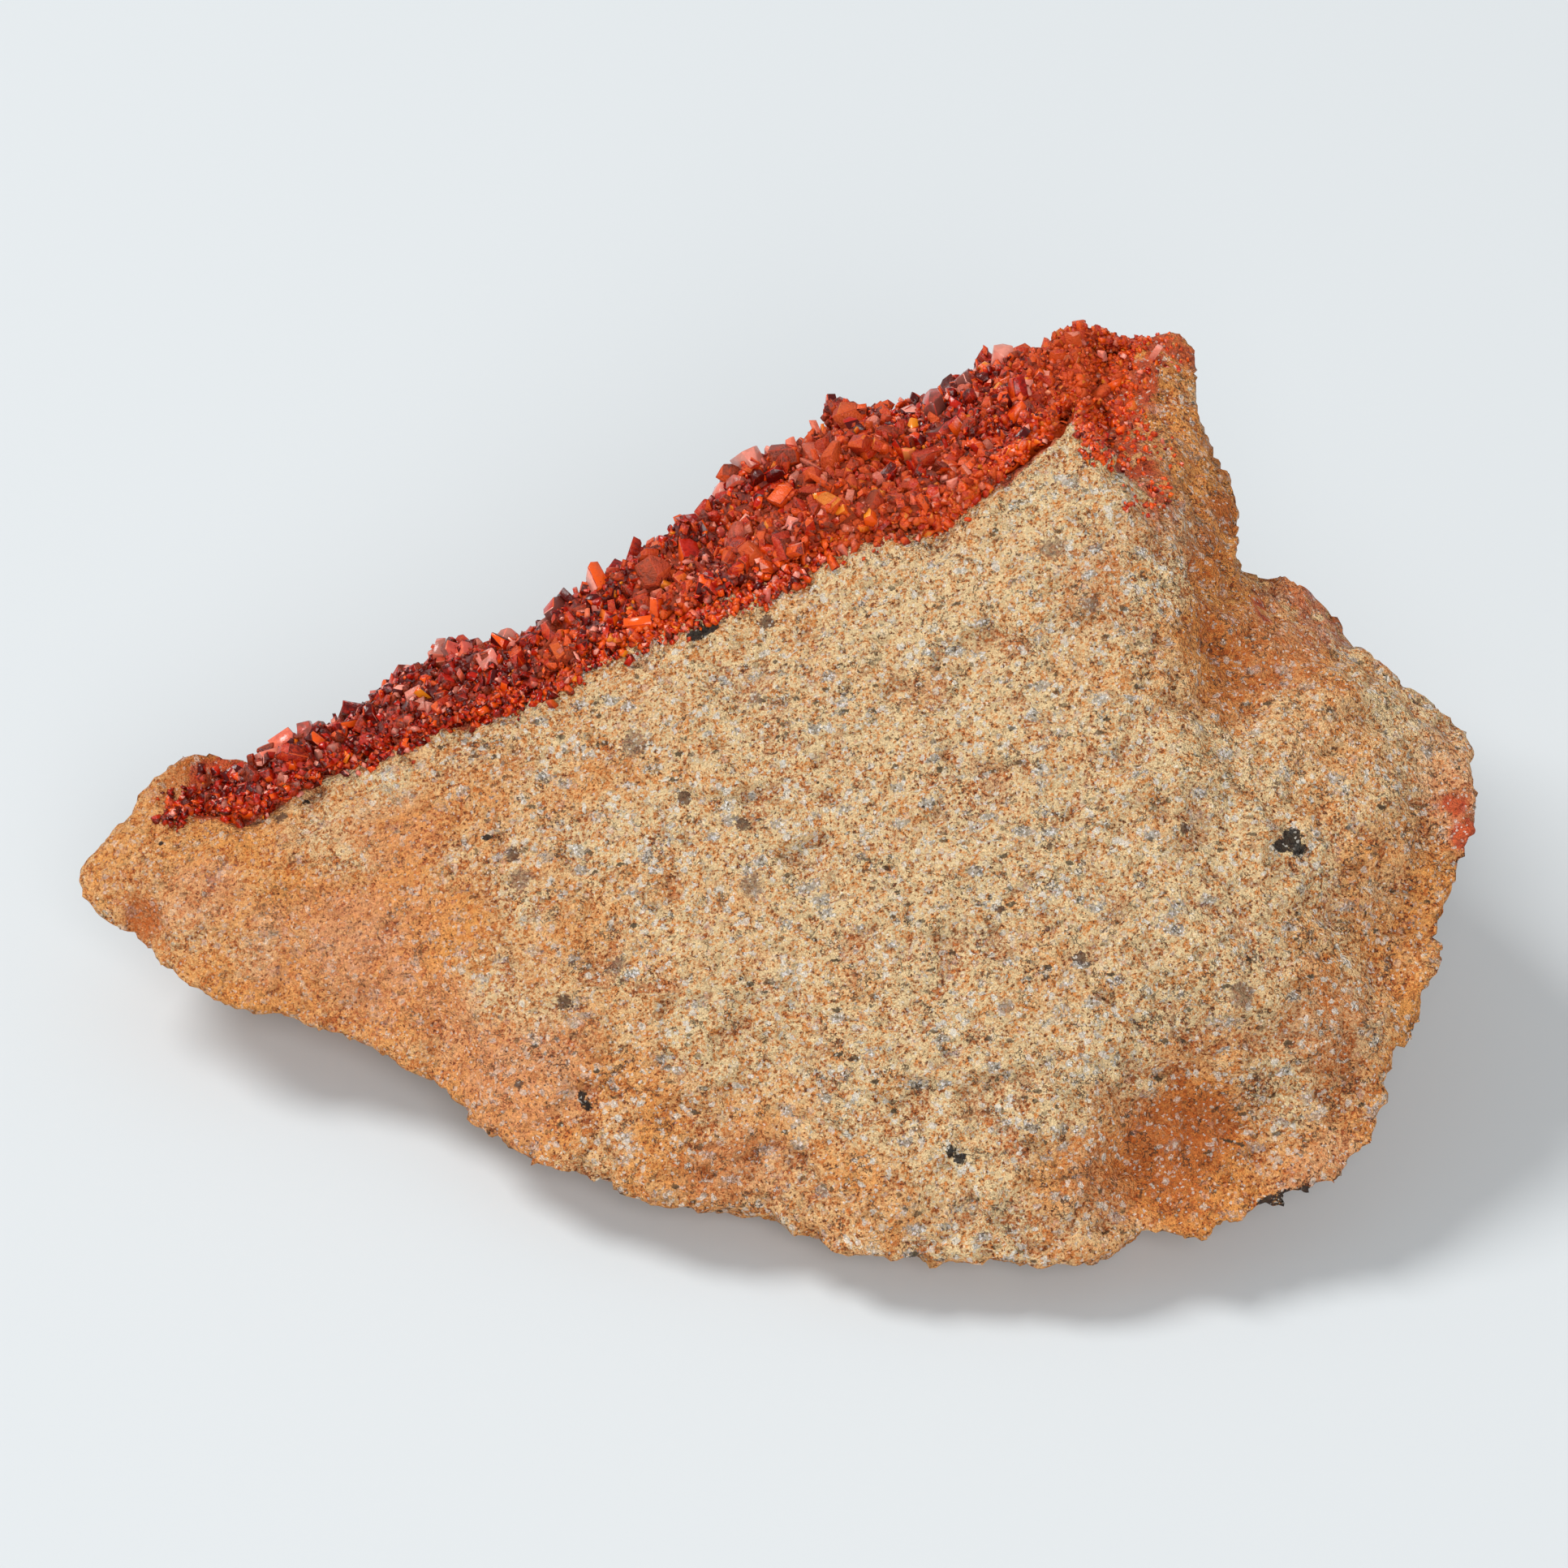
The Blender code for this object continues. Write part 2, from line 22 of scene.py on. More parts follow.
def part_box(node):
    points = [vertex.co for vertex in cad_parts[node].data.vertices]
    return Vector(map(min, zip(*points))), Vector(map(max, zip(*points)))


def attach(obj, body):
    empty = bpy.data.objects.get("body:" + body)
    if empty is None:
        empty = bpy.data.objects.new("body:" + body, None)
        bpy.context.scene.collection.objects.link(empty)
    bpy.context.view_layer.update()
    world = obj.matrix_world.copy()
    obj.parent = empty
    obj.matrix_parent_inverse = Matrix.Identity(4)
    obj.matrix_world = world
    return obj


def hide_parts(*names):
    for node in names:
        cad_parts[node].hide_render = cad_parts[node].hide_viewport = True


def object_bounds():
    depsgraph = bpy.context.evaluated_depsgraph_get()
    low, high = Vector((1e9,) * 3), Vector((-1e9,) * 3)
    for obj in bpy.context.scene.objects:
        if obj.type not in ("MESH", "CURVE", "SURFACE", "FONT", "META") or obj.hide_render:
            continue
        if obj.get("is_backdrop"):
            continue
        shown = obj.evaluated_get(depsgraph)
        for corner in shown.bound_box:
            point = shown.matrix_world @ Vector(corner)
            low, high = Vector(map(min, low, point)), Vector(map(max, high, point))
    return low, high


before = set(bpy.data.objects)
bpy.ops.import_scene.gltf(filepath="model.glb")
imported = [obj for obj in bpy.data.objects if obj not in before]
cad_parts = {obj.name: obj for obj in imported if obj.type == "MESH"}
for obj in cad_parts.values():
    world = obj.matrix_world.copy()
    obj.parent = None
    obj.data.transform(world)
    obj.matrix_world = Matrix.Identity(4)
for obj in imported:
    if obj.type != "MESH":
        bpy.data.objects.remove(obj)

LOG = logging.getLogger("crocoite")
MM = 0.001
Colour = tuple[float, float, float, float]
Pixel = tuple[float, float]
# The crust's lower edge, where the red ends and the tan face begins, read as pixels.
BROW: tuple[Pixel, ...] = (
    (190, 1010), (250, 990), (299, 998), (328, 988), (365, 963), (399, 947), (440, 934), (482, 922),
    (507, 914), (540, 889), (598, 874), (647, 864), (689, 843), (730, 814), (780, 793), (838, 769),
    (896, 752), (946, 731), (987, 706), (1020, 682), (1054, 665), (1095, 658), (1145, 653),
    (1178, 624), (1211, 599), (1244, 570), (1269, 541), (1294, 524), (1311, 500), (1400, 470),
    (1480, 440),
)


def seen(red: float, green: float, blue: float) -> Colour:
    """Turn a colour as the eye reads it, 0 to 255 a channel, into a shader's linear colour."""
    def linear(channel: float) -> float:
        """Undo the display curve of one channel."""
        share = channel / 255.0
        return share / 12.92 if share <= 0.04045 else ((share + 0.055) / 1.055) ** 2.4

    return (linear(red), linear(green), linear(blue), 1.0)


def eased(value: np.ndarray | float) -> np.ndarray | float:
    """Ease a value between 0 and 1 with a smooth start and end."""
    share = np.clip(value, 0.0, 1.0)
    return share * share * (3.0 - 2.0 * share)


def past(across: np.ndarray | float, start: float, width: float) -> np.ndarray | float:
    """Ease from 0 at a start to 1 a width further on, which is to the left where the width is negative."""
    return eased((across - start) / width)


def above_brow(pixels: np.ndarray) -> np.ndarray:
    """Give how far each pixel lies above the crust's lower edge."""
    return np.interp(pixels[:, 0], *np.array(BROW).T) - pixels[:, 1]


def murmur(places: np.ndarray, size: float,
           shift: tuple[float, float, float] = (0.0, 0.0, 0.0)) -> np.ndarray:
    """Give smooth noise at each point, with features about size millimetres."""
    return np.array([noise.noise(Vector(p) / size + Vector(shift)) for p in places])


def shown(name: str, data: bpy.types.ID) -> bpy.types.Object:
    """Make an object of a mesh, a light or a camera, in the scene."""
    piece = bpy.data.objects.new(name, data)
    bpy.context.scene.collection.objects.link(piece)
    return piece


def meshed(shape: bmesh.types.BMesh, name: str) -> bpy.types.Mesh:
    """Turn a bmesh into a mesh and free it."""
    mesh = bpy.data.meshes.new(name)
    shape.to_mesh(mesh)
    shape.free()
    return mesh


class Wire:
    """One output of a shader node. Arithmetic on it adds Math nodes."""

    def __init__(self, tree: bpy.types.NodeTree, socket: bpy.types.NodeSocket) -> None:
        """Keep the node tree and the output socket."""
        self.tree = tree
        self.socket = socket

    def math(self, operation: str, *values: "Wire | float") -> "Wire":
        """Add one Math node, with its inputs in order, wires or numbers."""
        node = self.tree.nodes.new("ShaderNodeMath")
        node.operation = operation
        for slot, value in zip(node.inputs, values):
            if isinstance(value, Wire):
                self.tree.links.new(value.socket, slot)
            else:
                slot.default_value = value
        return Wire(self.tree, node.outputs[0])

    def __add__(self, other: "Wire | float") -> "Wire":
        """Add."""
        return self.math("ADD", self, other)

    __radd__ = __add__

    def __sub__(self, other: "Wire | float") -> "Wire":
        """Subtract."""
        return self.math("SUBTRACT", self, other)

    def __rsub__(self, other: float) -> "Wire":
        """Subtract this from a number."""
        return self.math("SUBTRACT", other, self)

    def __mul__(self, other: "Wire | float") -> "Wire":
        """Multiply."""
        return self.math("MULTIPLY", self, other)

    __rmul__ = __mul__

    def least(self, other: "Wire | float") -> "Wire":
        """Take the smaller of the two."""
        return self.math("MINIMUM", self, other)

    def most(self, other: "Wire | float") -> "Wire":
        """Take the larger of the two."""
        return self.math("MAXIMUM", self, other)

    def held(self) -> "Wire":
        """Hold the value between 0 and 1."""
        return self.least(1.0).most(0.0)

    def rise(self, start: float, end: float) -> "Wire":
        """Ease from 0 at start to 1 at end, which may be the smaller of the two."""
        node = self.tree.nodes.new("ShaderNodeMapRange")
        node.interpolation_type = "SMOOTHSTEP"
        low, high = min(start, end), max(start, end)
        node.inputs["From Min"].default_value = low
        node.inputs["From Max"].default_value = high
        node.inputs["To Min"].default_value = 0.0 if start < end else 1.0
        node.inputs["To Max"].default_value = 1.0 if start < end else 0.0
        self.tree.links.new(self.socket, node.inputs["Value"])
        return Wire(self.tree, node.outputs["Result"])


class NodeBench:
    """Builds the node tree of one material."""

    def __init__(self, name: str) -> None:
        """Make a material that holds one Principled shader and its output."""
        self.material = bpy.data.materials.new(name)
        self.material.use_nodes = True
        self.tree = self.material.node_tree
        self.tree.nodes.clear()
        output = self.tree.nodes.new("ShaderNodeOutputMaterial")
        self.surface = self.tree.nodes.new("ShaderNodeBsdfPrincipled")
        self.tree.links.new(self.surface.outputs["BSDF"], output.inputs["Surface"])

    def socket(self, sockets: Iterable[bpy.types.NodeSocket], name: str) -> bpy.types.NodeSocket:
        """Find a socket by its identifier, or else by its name."""
        listed = list(sockets)
        known = next((s for s in listed if s.identifier == name), None)
        return known or next(s for s in listed if s.name == name)

    def feed(self, node: bpy.types.Node, name: str, value: object) -> None:
        """Give one input a wire or a constant."""
        slot = self.socket(node.inputs, name)
        if isinstance(value, Wire):
            self.tree.links.new(value.socket, slot)
        else:
            slot.default_value = value

    def add(self, kind: str, settings: dict[str, object], inputs: dict[str, object]) -> bpy.types.Node:
        """Add a node of any kind.

        Args:
            kind: The node's type.
            settings: Properties of the node, set before its inputs.
            inputs: Wires or constants by socket.

        Returns:
            The node.
        """
        node = self.tree.nodes.new(kind)
        for name, value in settings.items():
            setattr(node, name, value)
        for name, value in inputs.items():
            self.feed(node, name, value)
        return node

    def out(self, node: bpy.types.Node, name: str) -> Wire:
        """Take one output of a node."""
        return Wire(self.tree, self.socket(node.outputs, name))

    def place(self) -> Wire:
        """Give the point on the piece in millimetres."""
        coordinates = self.add("ShaderNodeTexCoord", {}, {})
        scaled = self.add("ShaderNodeVectorMath", {"operation": "SCALE"},
                          {"Vector": self.out(coordinates, "Object"), "Scale": 1.0 / MM})
        return self.out(scaled, "Vector")

    def turned(self, place: Wire, angles: tuple[float, float, float],
               stretch: tuple[float, float, float]) -> Wire:
        """Turn and stretch the pattern's space, with angles in degrees."""
        node = self.add("ShaderNodeMapping", {"vector_type": "POINT"},
                        {"Vector": place, "Rotation": [math.radians(a) for a in angles], "Scale": stretch})
        return self.out(node, "Vector")

    def noise(self, place: Wire, size: float, detail: float = 3.0, roughness: float = 0.5,
              distortion: float = 0.0) -> Wire:
        """Give cloudy noise whose features are about size millimetres."""
        node = self.add("ShaderNodeTexNoise", {"noise_dimensions": "3D"},
                        {"Vector": place, "Scale": 1.0 / size, "Detail": detail, "Roughness": roughness,
                         "Distortion": distortion})
        return self.out(node, "Fac")

    def cells(self, place: Wire, size: float) -> tuple[Wire, Wire, Wire, Wire]:
        """Give grains of a size in millimetres.

        Args:
            place: Point in millimetres.
            size: Size of a grain.

        Returns:
            Distance from the grain's middle as a share of its size, and three random numbers a grain.
        """
        node = self.add("ShaderNodeTexVoronoi", {"voronoi_dimensions": "3D", "feature": "F1"},
                        {"Vector": place, "Scale": 1.0 / size})
        parts = self.add("ShaderNodeSeparateColor", {"mode": "RGB"}, {"Color": self.out(node, "Color")})
        return (self.out(node, "Distance"), self.out(parts, "Red"), self.out(parts, "Green"),
                self.out(parts, "Blue"))

    def ragged(self, place: Wire, size: float, amount: float) -> Wire:
        """Shift the pattern's space unevenly, so that the grains drawn in it have ragged edges."""
        node = self.add("ShaderNodeTexNoise", {"noise_dimensions": "3D"},
                        {"Vector": place, "Scale": 1.0 / size, "Detail": 2.0, "Roughness": 0.65})
        shifted = self.add("ShaderNodeVectorMath", {"operation": "MULTIPLY_ADD"},
                           {"Vector": self.out(node, "Color"), "Vector_001": (amount, amount, amount),
                            "Vector_002": place})
        return self.out(shifted, "Vector")

    def attribute(self, name: str) -> tuple[Wire, Wire, Wire]:
        """Give the three numbers that an attribute of the mesh holds."""
        node = self.add("ShaderNodeAttribute", {"attribute_type": "GEOMETRY", "attribute_name": name}, {})
        parts = self.add("ShaderNodeSeparateXYZ", {}, {"Vector": self.out(node, "Vector")})
        return self.out(parts, "X"), self.out(parts, "Y"), self.out(parts, "Z")

    def mixed(self, share: Wire | float, first: Wire | Colour, second: Wire | Colour,
              how: str = "MIX") -> Wire:
        """Lay a share of the second colour over the first."""
        node = self.add("ShaderNodeMix", {"data_type": "RGBA", "blend_type": how},
                        {"Factor_Float": share, "A_Color": first, "B_Color": second})
        return self.out(node, "Result_Color")

    def layered(self, ground: Wire, *layers: tuple[Wire | float, Wire | Colour]) -> Wire:
        """Lay several colours over the first in order, each with its share."""
        for share, colour in layers:
            ground = self.mixed(share, ground, colour)
        return ground

    def bumped(self, height: Wire, depth: float) -> Wire:
        """Give the normal of a fine relief, whose height from 0 to 1 stands for a depth in millimetres."""
        node = self.add("ShaderNodeBump", {}, {"Strength": 1.0, "Distance": depth * MM, "Height": height})
        return self.out(node, "Normal")

    def finish(self, **inputs: object) -> bpy.types.Material:
        """Feed the Principled shader, with underscores for the spaces in its socket names."""
        for name, value in inputs.items():
            self.feed(self.surface, name.replace("_", " "), value)
        return self.material


@dataclass(frozen=True)
class Sight:
    """The camera's place and angle, and the lines along which it sees."""

    corner: Vector
    beside: float = 45.65
    before: float = -172.66
    height: float = 177.8
    tilt: float = 38.4
    focal: float = 5000.0
    side: float = 1932.0
    lowest: int = 120
    step: int = 6
    half_height: float = 12.0

    def eye(self) -> Vector:
        """Give the camera's place, in metres, from the lowest corner of the block's box."""
        return Vector((self.corner.x + self.beside * MM, self.corner.y + self.before * MM,
                       self.height * MM))

    def line(self, pixel: Pixel) -> Vector:
        """Give the direction in which a pixel of the picture looks."""
        right = (pixel[0] - self.side / 2) / self.focal
        up = (self.side / 2 - pixel[1]) / self.focal
        low, steep = math.cos(math.radians(self.tilt)), math.sin(math.radians(self.tilt))
        return Vector((right, low + steep * up, low * up - steep)).normalized()

    def pixel(self, point: Vector) -> Pixel:
        """Give the pixel at which a point shows."""
        away = (point - self.eye()) / MM
        low, steep = math.cos(math.radians(self.tilt)), math.sin(math.radians(self.tilt))
        depth = away.y * low - away.z * steep
        up = away.y * steep + away.z * low
        return (self.side / 2 + self.focal * away.x / depth, self.side / 2 - self.focal * up / depth)

    def pixels(self, places: np.ndarray) -> np.ndarray:
        """Give the pixel at which each point shows, from points in millimetres."""
        return np.array([self.pixel(Vector(p) * MM) for p in places])

    def land(self, surface: BVHTree, pixel: Pixel) -> tuple[Vector, Vector]:
        """Cast a pixel onto a surface.

        Args:
            surface: The surface.
            pixel: The pixel of the picture.

        Returns:
            The point and the normal there. Where the line misses, lower pixels are tried, and then the
            nearest point of the surface is taken.
        """
        eye = self.eye()
        for lower in range(0, self.lowest, self.step):
            point, normal, _, _ = surface.ray_cast(eye, self.line((pixel[0], pixel[1] + lower)))
            if point is not None:
                return point, normal
        line = self.line(pixel)
        point, normal, _, _ = surface.find_nearest(eye + line * ((self.half_height * MM - eye.z) / line.z))
        return point, normal


@dataclass(frozen=True)
class Patch:
    """A soft region of the rock, by the pixel at its middle, its radius in millimetres and its strength."""

    pixel: Pixel
    radius: float
    strength: float


def patches(*rows: tuple[float, float, float, float]) -> tuple[Patch, ...]:
    """Make patches from rows of pixel, radius and strength."""
    return tuple(Patch((across, down), radius, strength) for across, down, radius, strength in rows)


class Wash(Enum):
    """Kinds of region on the rock, each with its patches."""

    WARM = patches(
        (230, 1110, 13, 0.7), (450, 1230, 12, 0.85), (640, 1360, 9, 0.8), (300, 1010, 7, 0.5),
        (850, 1450, 7, 0.6), (1040, 1500, 5, 0.5), (1745, 1180, 8, 0.8), (1790, 1020, 5, 0.6),
        (1690, 1380, 6, 0.7), (1540, 770, 7, 0.9), (1470, 1420, 7, 0.9), (1480, 570, 9, 1.0),
        (1440, 440, 5, 0.8), (620, 1010, 7, 0.5), (1350, 1500, 5, 0.6), (1600, 860, 5, 0.5),
    )
    PINK = patches(
        (450, 1170, 5, 0.9), (250, 1105, 3, 0.7), (640, 1330, 5, 0.8), (1800, 960, 4, 0.7),
        (560, 1260, 4, 0.6), (480, 1030, 3, 0.5), (330, 1170, 3, 0.6), (1700, 1440, 3, 0.6),
        (900, 1440, 3, 0.4),
    )
    DEEP = patches(
        (1540, 800, 4.5, 0.6), (1450, 1400, 4.5, 0.9), (178, 1137, 1.8, 0.9), (1500, 618, 1.6, 0.9),
        (1370, 1440, 3, 0.6), (1480, 680, 3, 0.6), (1350, 730, 3, 0.35), (1640, 1260, 4, 0.5),
        (880, 1430, 2.5, 0.4), (1430, 640, 3, 0.4), (262, 948, 3.4, 0.8), (1500, 560, 3, 0.4),
    )
    PALE = patches(
        (1130, 880, 13, 0.7), (1450, 1100, 14, 0.55), (1230, 1260, 12, 0.55), (1715, 880, 2.6, 1.0),
        (980, 1120, 11, 0.45), (1250, 640, 7, 0.5), (1140, 850, 3, 0.6), (1280, 940, 4, 0.4),
        (1240, 1170, 4, 0.4),
    )
    RED = patches(
        (1385, 560, 3.0, 0.9), (1365, 480, 3.2, 1.0), (1425, 620, 2.2, 0.8), (1610, 745, 4.0, 0.5),
        (1812, 1030, 1.2, 1.0), (1400, 420, 3.2, 1.0), (1460, 430, 2.0, 0.6), (1350, 440, 3.0, 1.0),
        (1790, 990, 0.8, 0.8), (1700, 800, 2.0, 0.4), (1555, 755, 1.2, 0.8),
    )


@dataclass(frozen=True)
class Spot:
    """A single mineral grain that shows in the face, by its pixel and its radius in millimetres."""

    pixel: Pixel
    radius: float


def spots(*rows: tuple[float, float, float]) -> tuple[Spot, ...]:
    """Make spots from rows of pixel and radius."""
    return tuple(Spot((across, down), radius) for across, down, radius in rows)


class Grain(Enum):
    """Kinds of single grain."""

    BLACK = spots(
        (868, 780, 0.55), (855, 786, 0.45), (880, 772, 0.4), (990, 711, 0.35), (1590, 1030, 0.65),
        (1602, 1046, 0.55), (1578, 1042, 0.5), (1172, 1418, 0.4), (1183, 1428, 0.45),
        (716, 1350, 0.35), (722, 1362, 0.38), (200, 1040, 0.26), (257, 991, 0.22), (376, 987, 0.26),
        (1585, 1476, 0.7), (1610, 1470, 0.6), (1560, 1482, 0.5), (600, 1033, 0.3),
    )
    BROWN = spots(
        (945, 768, 0.62), (640, 1337, 0.4), (705, 1187, 0.3), (694, 1234, 0.6), (1330, 1180, 0.5),
        (632, 1053, 0.6), (1232, 1120, 0.35), (348, 1008, 0.5), (915, 1015, 0.5), (844, 985, 0.55),
        (1460, 1020, 0.4),
    )
    SMOKY = spots(
        (1295, 675, 0.75), (312, 1010, 0.6), (1530, 1225, 0.85), (925, 1092, 0.8), (780, 915, 0.9),
        (1345, 745, 0.5), (640, 1085, 0.8), (758, 1188, 0.7), (930, 860, 0.6), (1240, 1240, 0.5),
    )


@dataclass(frozen=True)
class RockFinish:
    """Weathered tan rock: cream to orange-brown ground with quartz, mica and dark grains, and white flecks
    painted as glints.
    """

    cream: Colour = seen(255, 222, 168)
    tan: Colour = seen(232, 146, 70)
    brown: Colour = seen(184, 104, 48)
    orange: Colour = seen(255, 170, 82)
    rust: Colour = seen(206, 102, 30)
    pink: Colour = seen(252, 174, 130)
    quartz: Colour = seen(252, 244, 230)
    silver: Colour = seen(184, 176, 162)
    # Pure white, used for the glints painted on the mica.
    glint_white: Colour = seen(255, 255, 255)
    smoky: Colour = seen(150, 116, 94)
    dark: Colour = seen(78, 64, 42)
    black: Colour = seen(30, 25, 22)
    umber: Colour = seen(96, 64, 46)
    pit: Colour = seen(122, 66, 26)
    red: Colour = seen(228, 92, 40)
    scarlet: Colour = seen(190, 58, 30)

    def material(self) -> bpy.types.Material:
        """Make the rock's material, which reads the attributes that the block's mesh holds."""
        bench = NodeBench("weathered_rock")
        place = bench.place()
        warm, pink, deep = bench.attribute("wash")
        pale, red, near_crust = bench.attribute("mark")
        relief, coarse, patchy = bench.attribute("relief")
        veil, drift, stain = bench.attribute("cloud")
        black_reach, brown_reach, smoky_reach = bench.attribute("spots")

        uneven = bench.ragged(place, 0.42, 0.5)
        mottle = bench.noise(place, 1.0, 3.0, 0.7, 0.3)
        speckle = bench.noise(place, 0.24, 2.0, 0.75)
        rough = (speckle - 0.5) * 2.0
        grain_reach, grain_a, grain_b, grain_c = bench.cells(uneven, 0.40)
        _, fine_a, fine_b, fine_c = bench.cells(place, 0.15)
        # Thin cracks, sunk in the bump and drawn as dark umber lines: partly stain, partly painted shade in
        # the cracks.
        shaded_crack = bench.noise(place, 1.9, 4.0, 0.68) - 0.5
        shaded_crack = shaded_crack.most(shaded_crack * -1.0).rise(0.014, 0.002) * stain.rise(0.52, 0.68) * (0.2 + coarse * 0.8)

        light = rough * 2.2 + (fine_c - 0.5) * 0.8 + (mottle - 0.5) * 2.0 + (grain_a - 0.5) * 1.0
        ground = bench.mixed((light + 0.66 + pale * 0.25).held(), self.tan, self.cream)
        ochre = bench.mixed((light * 0.7 + 0.7 + (patchy - 0.5) * 0.5).held(), self.rust, self.orange)
        warmth = (warm * 1.15 + (patchy - 0.5) * 0.9 + (grain_c - 0.5) * 0.3 - pale * 0.3).held()
        ground = bench.mixed(warmth * 0.95, ground, ochre)
        ground = bench.mixed((pink * (mottle * 2.2 - 0.4)).held() * 0.7, ground, self.pink)

        rusty = (mottle + rough * 0.6).rise(0.30, 0.12) * (0.25 + coarse * 0.2)
        worn = (grain_b + rough * 0.25).rise(0.11, 0.02) * (0.3 + coarse * 0.3)
        pits = speckle.rise(0.42, 0.31) * (0.6 + coarse * 0.4)
        ground = bench.layered(ground, (rusty, self.rust), (worn, self.brown), (pits, self.pit))
        # Painted shade: brown is multiplied into the ground where the relief is low, in its crevices.
        crevice_shade = (relief + rough * 0.9).rise(0.24, 0.04) * 0.45
        ground = bench.mixed(crevice_shade, ground, self.brown, "MULTIPLY")
        ground = bench.mixed((deep * (1.0 - rough * 0.6)).held() * 0.85, ground, self.rust)

        quartz = grain_b.rise(0.83, 0.86) * (grain_reach + rough * 0.2).rise(0.66, 0.46)
        clean = 1.0 - warm * 0.6
        quartz = quartz * (0.25 + coarse * 0.75) * (0.35 + veil.rise(0.40, 0.60)) * clean
        ground = bench.mixed(quartz.held() * 0.75, ground, self.quartz)
        drawn = bench.turned(uneven, (15, -30, 20), (0.75, 1.25, 1.2))
        big_reach, big_a, _, _ = bench.cells(drawn, 1.0)
        silvery = (big_a + rough * 0.05).rise(0.88, 0.90) * (big_reach + rough * 0.6).rise(0.56, 0.30)
        silvery = silvery.most((mottle + rough * 0.22).rise(0.63, 0.69) * veil.rise(0.42, 0.56))
        silvery = silvery * coarse * clean
        # Painted glints: white flecks over the silver mica, with dark bits of mineral among them.
        mica = bench.mixed(fine_b.rise(0.62, 0.72), self.silver, self.glint_white)
        mica = bench.mixed(fine_a.rise(0.86, 0.90), mica, self.dark)
        ground = bench.mixed(silvery * 0.8, ground, mica)

        streaked = bench.turned(uneven, (20, -35, 28), (0.62, 1.3, 1.15))
        streak_reach, streak_a, streak_b, _ = bench.cells(streaked, 0.46)
        streak = streak_a.rise(0.87, 0.89) * (streak_reach + rough * 0.3).rise(0.52, 0.36)
        streak = streak * (0.15 + coarse * 0.85) * drift.rise(0.34, 0.56)
        pepper = fine_b.rise(0.965, 0.975) * (0.2 + coarse * 0.55)
        ground = bench.layered(ground, (streak * (0.45 + streak_b * 0.5), self.dark),
                               (pepper * 0.65, self.dark), (shaded_crack * 0.8, self.umber))

        loose = (mottle - 0.5) * 0.9 + rough * 0.5
        cloudy = (smoky_reach + loose * 1.5).rise(1.10, 0.70)
        brown = (brown_reach + loose * 1.5).rise(1.05, 0.75)
        black = (black_reach + loose * 1.2).rise(1.05, 0.8)
        ground = bench.layered(ground, (cloudy * 0.65, self.smoky), (brown * 0.85, self.umber),
                               (black * 0.95, self.black))

        stained = (red * 1.4 * (stain + rough * 0.4).rise(0.30, 0.48)).held()
        edge = (near_crust + rough * 0.6).rise(0.70, 1.0)
        # Painted glints: scattered quartz-white specks, which are also made glossier.
        painted_glint = fine_a.rise(0.93, 0.96) * (0.4 + coarse * 0.6)
        reds = bench.mixed(grain_c, self.red, self.scarlet)
        ground = bench.layered(ground, (stained.most(edge) * 0.9, reds), (painted_glint * 0.6, self.quartz))

        roughness = 0.86 - quartz * 0.3 - silvery * 0.5 - painted_glint * 0.5 - cloudy * 0.4
        height = rough * 0.65 + fine_b * 0.35 + grain_a * 0.25 + mottle * 1.9 - shaded_crack * 0.8
        return bench.finish(Base_Color=ground, Roughness=roughness.held(), Normal=bench.bumped(height, 0.6),
                            IOR=1.5, Specular_IOR_Level=0.45)


@dataclass(frozen=True)
class CrocoiteFinish:
    """Crocoite: lustrous deep red to orange-red crystals, some dulled by orange dust."""

    name: str
    blood: Colour = seen(74, 4, 2)
    red: Colour = seen(178, 24, 4)
    orange: Colour = seen(226, 82, 14)
    amber: Colour = seen(226, 132, 26)
    # Pink: partly the pinkish crystals, partly painted glints.
    pink: Colour = seen(244, 160, 140)
    dust: Colour = seen(184, 72, 22)
    umber: Colour = seen(92, 36, 16)
    gloss: float = 0.1
    dulled: float = 0.6

    def material(self) -> bpy.types.Material:
        """Make the material, which reads the attribute tone.

        Returns:
            The material. Tone holds the step from blood red to amber, the dust and the pink, which is
            partly pinkish crystal and partly painted glint.
        """
        bench = NodeBench(self.name)
        place = bench.place()
        hue, dust, pink = bench.attribute("tone")
        veil = bench.noise(place, 0.6, 4.0, 0.65, 0.5)
        fleck = bench.noise(place, 0.2, 3.0, 0.7)
        step = (hue + (veil - 0.5) * 0.9 + (fleck - 0.5) * 0.5).held()
        colour = bench.mixed(step.rise(0.0, 0.4), self.blood, self.red)
        dusty = (dust * 1.1 + (fleck - 0.5) * 2.4 + (veil - 0.5) * 1.2 - 0.1).held() * dust.rise(0.02, 0.3)
        soiled = (veil + (fleck - 0.5) * 0.5).rise(0.40, 0.28) * dust.rise(0.1, 0.6)
        colour = bench.layered(colour, (step.rise(0.4, 0.75), self.orange),
                               (hue.rise(1.15, 1.3), self.amber), ((pink * (0.4 + veil)).held(), self.pink),
                               (dusty * 0.6, self.dust), (soiled * 0.75, self.umber))
        height = (veil + fleck * 0.8) * (0.1 + dust)
        roughness = self.gloss + (self.dulled - self.gloss) * dusty
        return bench.finish(Base_Color=colour, Roughness=roughness, Normal=bench.bumped(height, 0.22),
                            IOR=1.95, Specular_IOR_Level=0.14)


def mesh_tree(mesh: bpy.types.Mesh) -> BVHTree:
    """Index a mesh for casting lines onto it."""
    return BVHTree.FromPolygons([v.co for v in mesh.vertices], [tuple(p.vertices) for p in mesh.polygons])


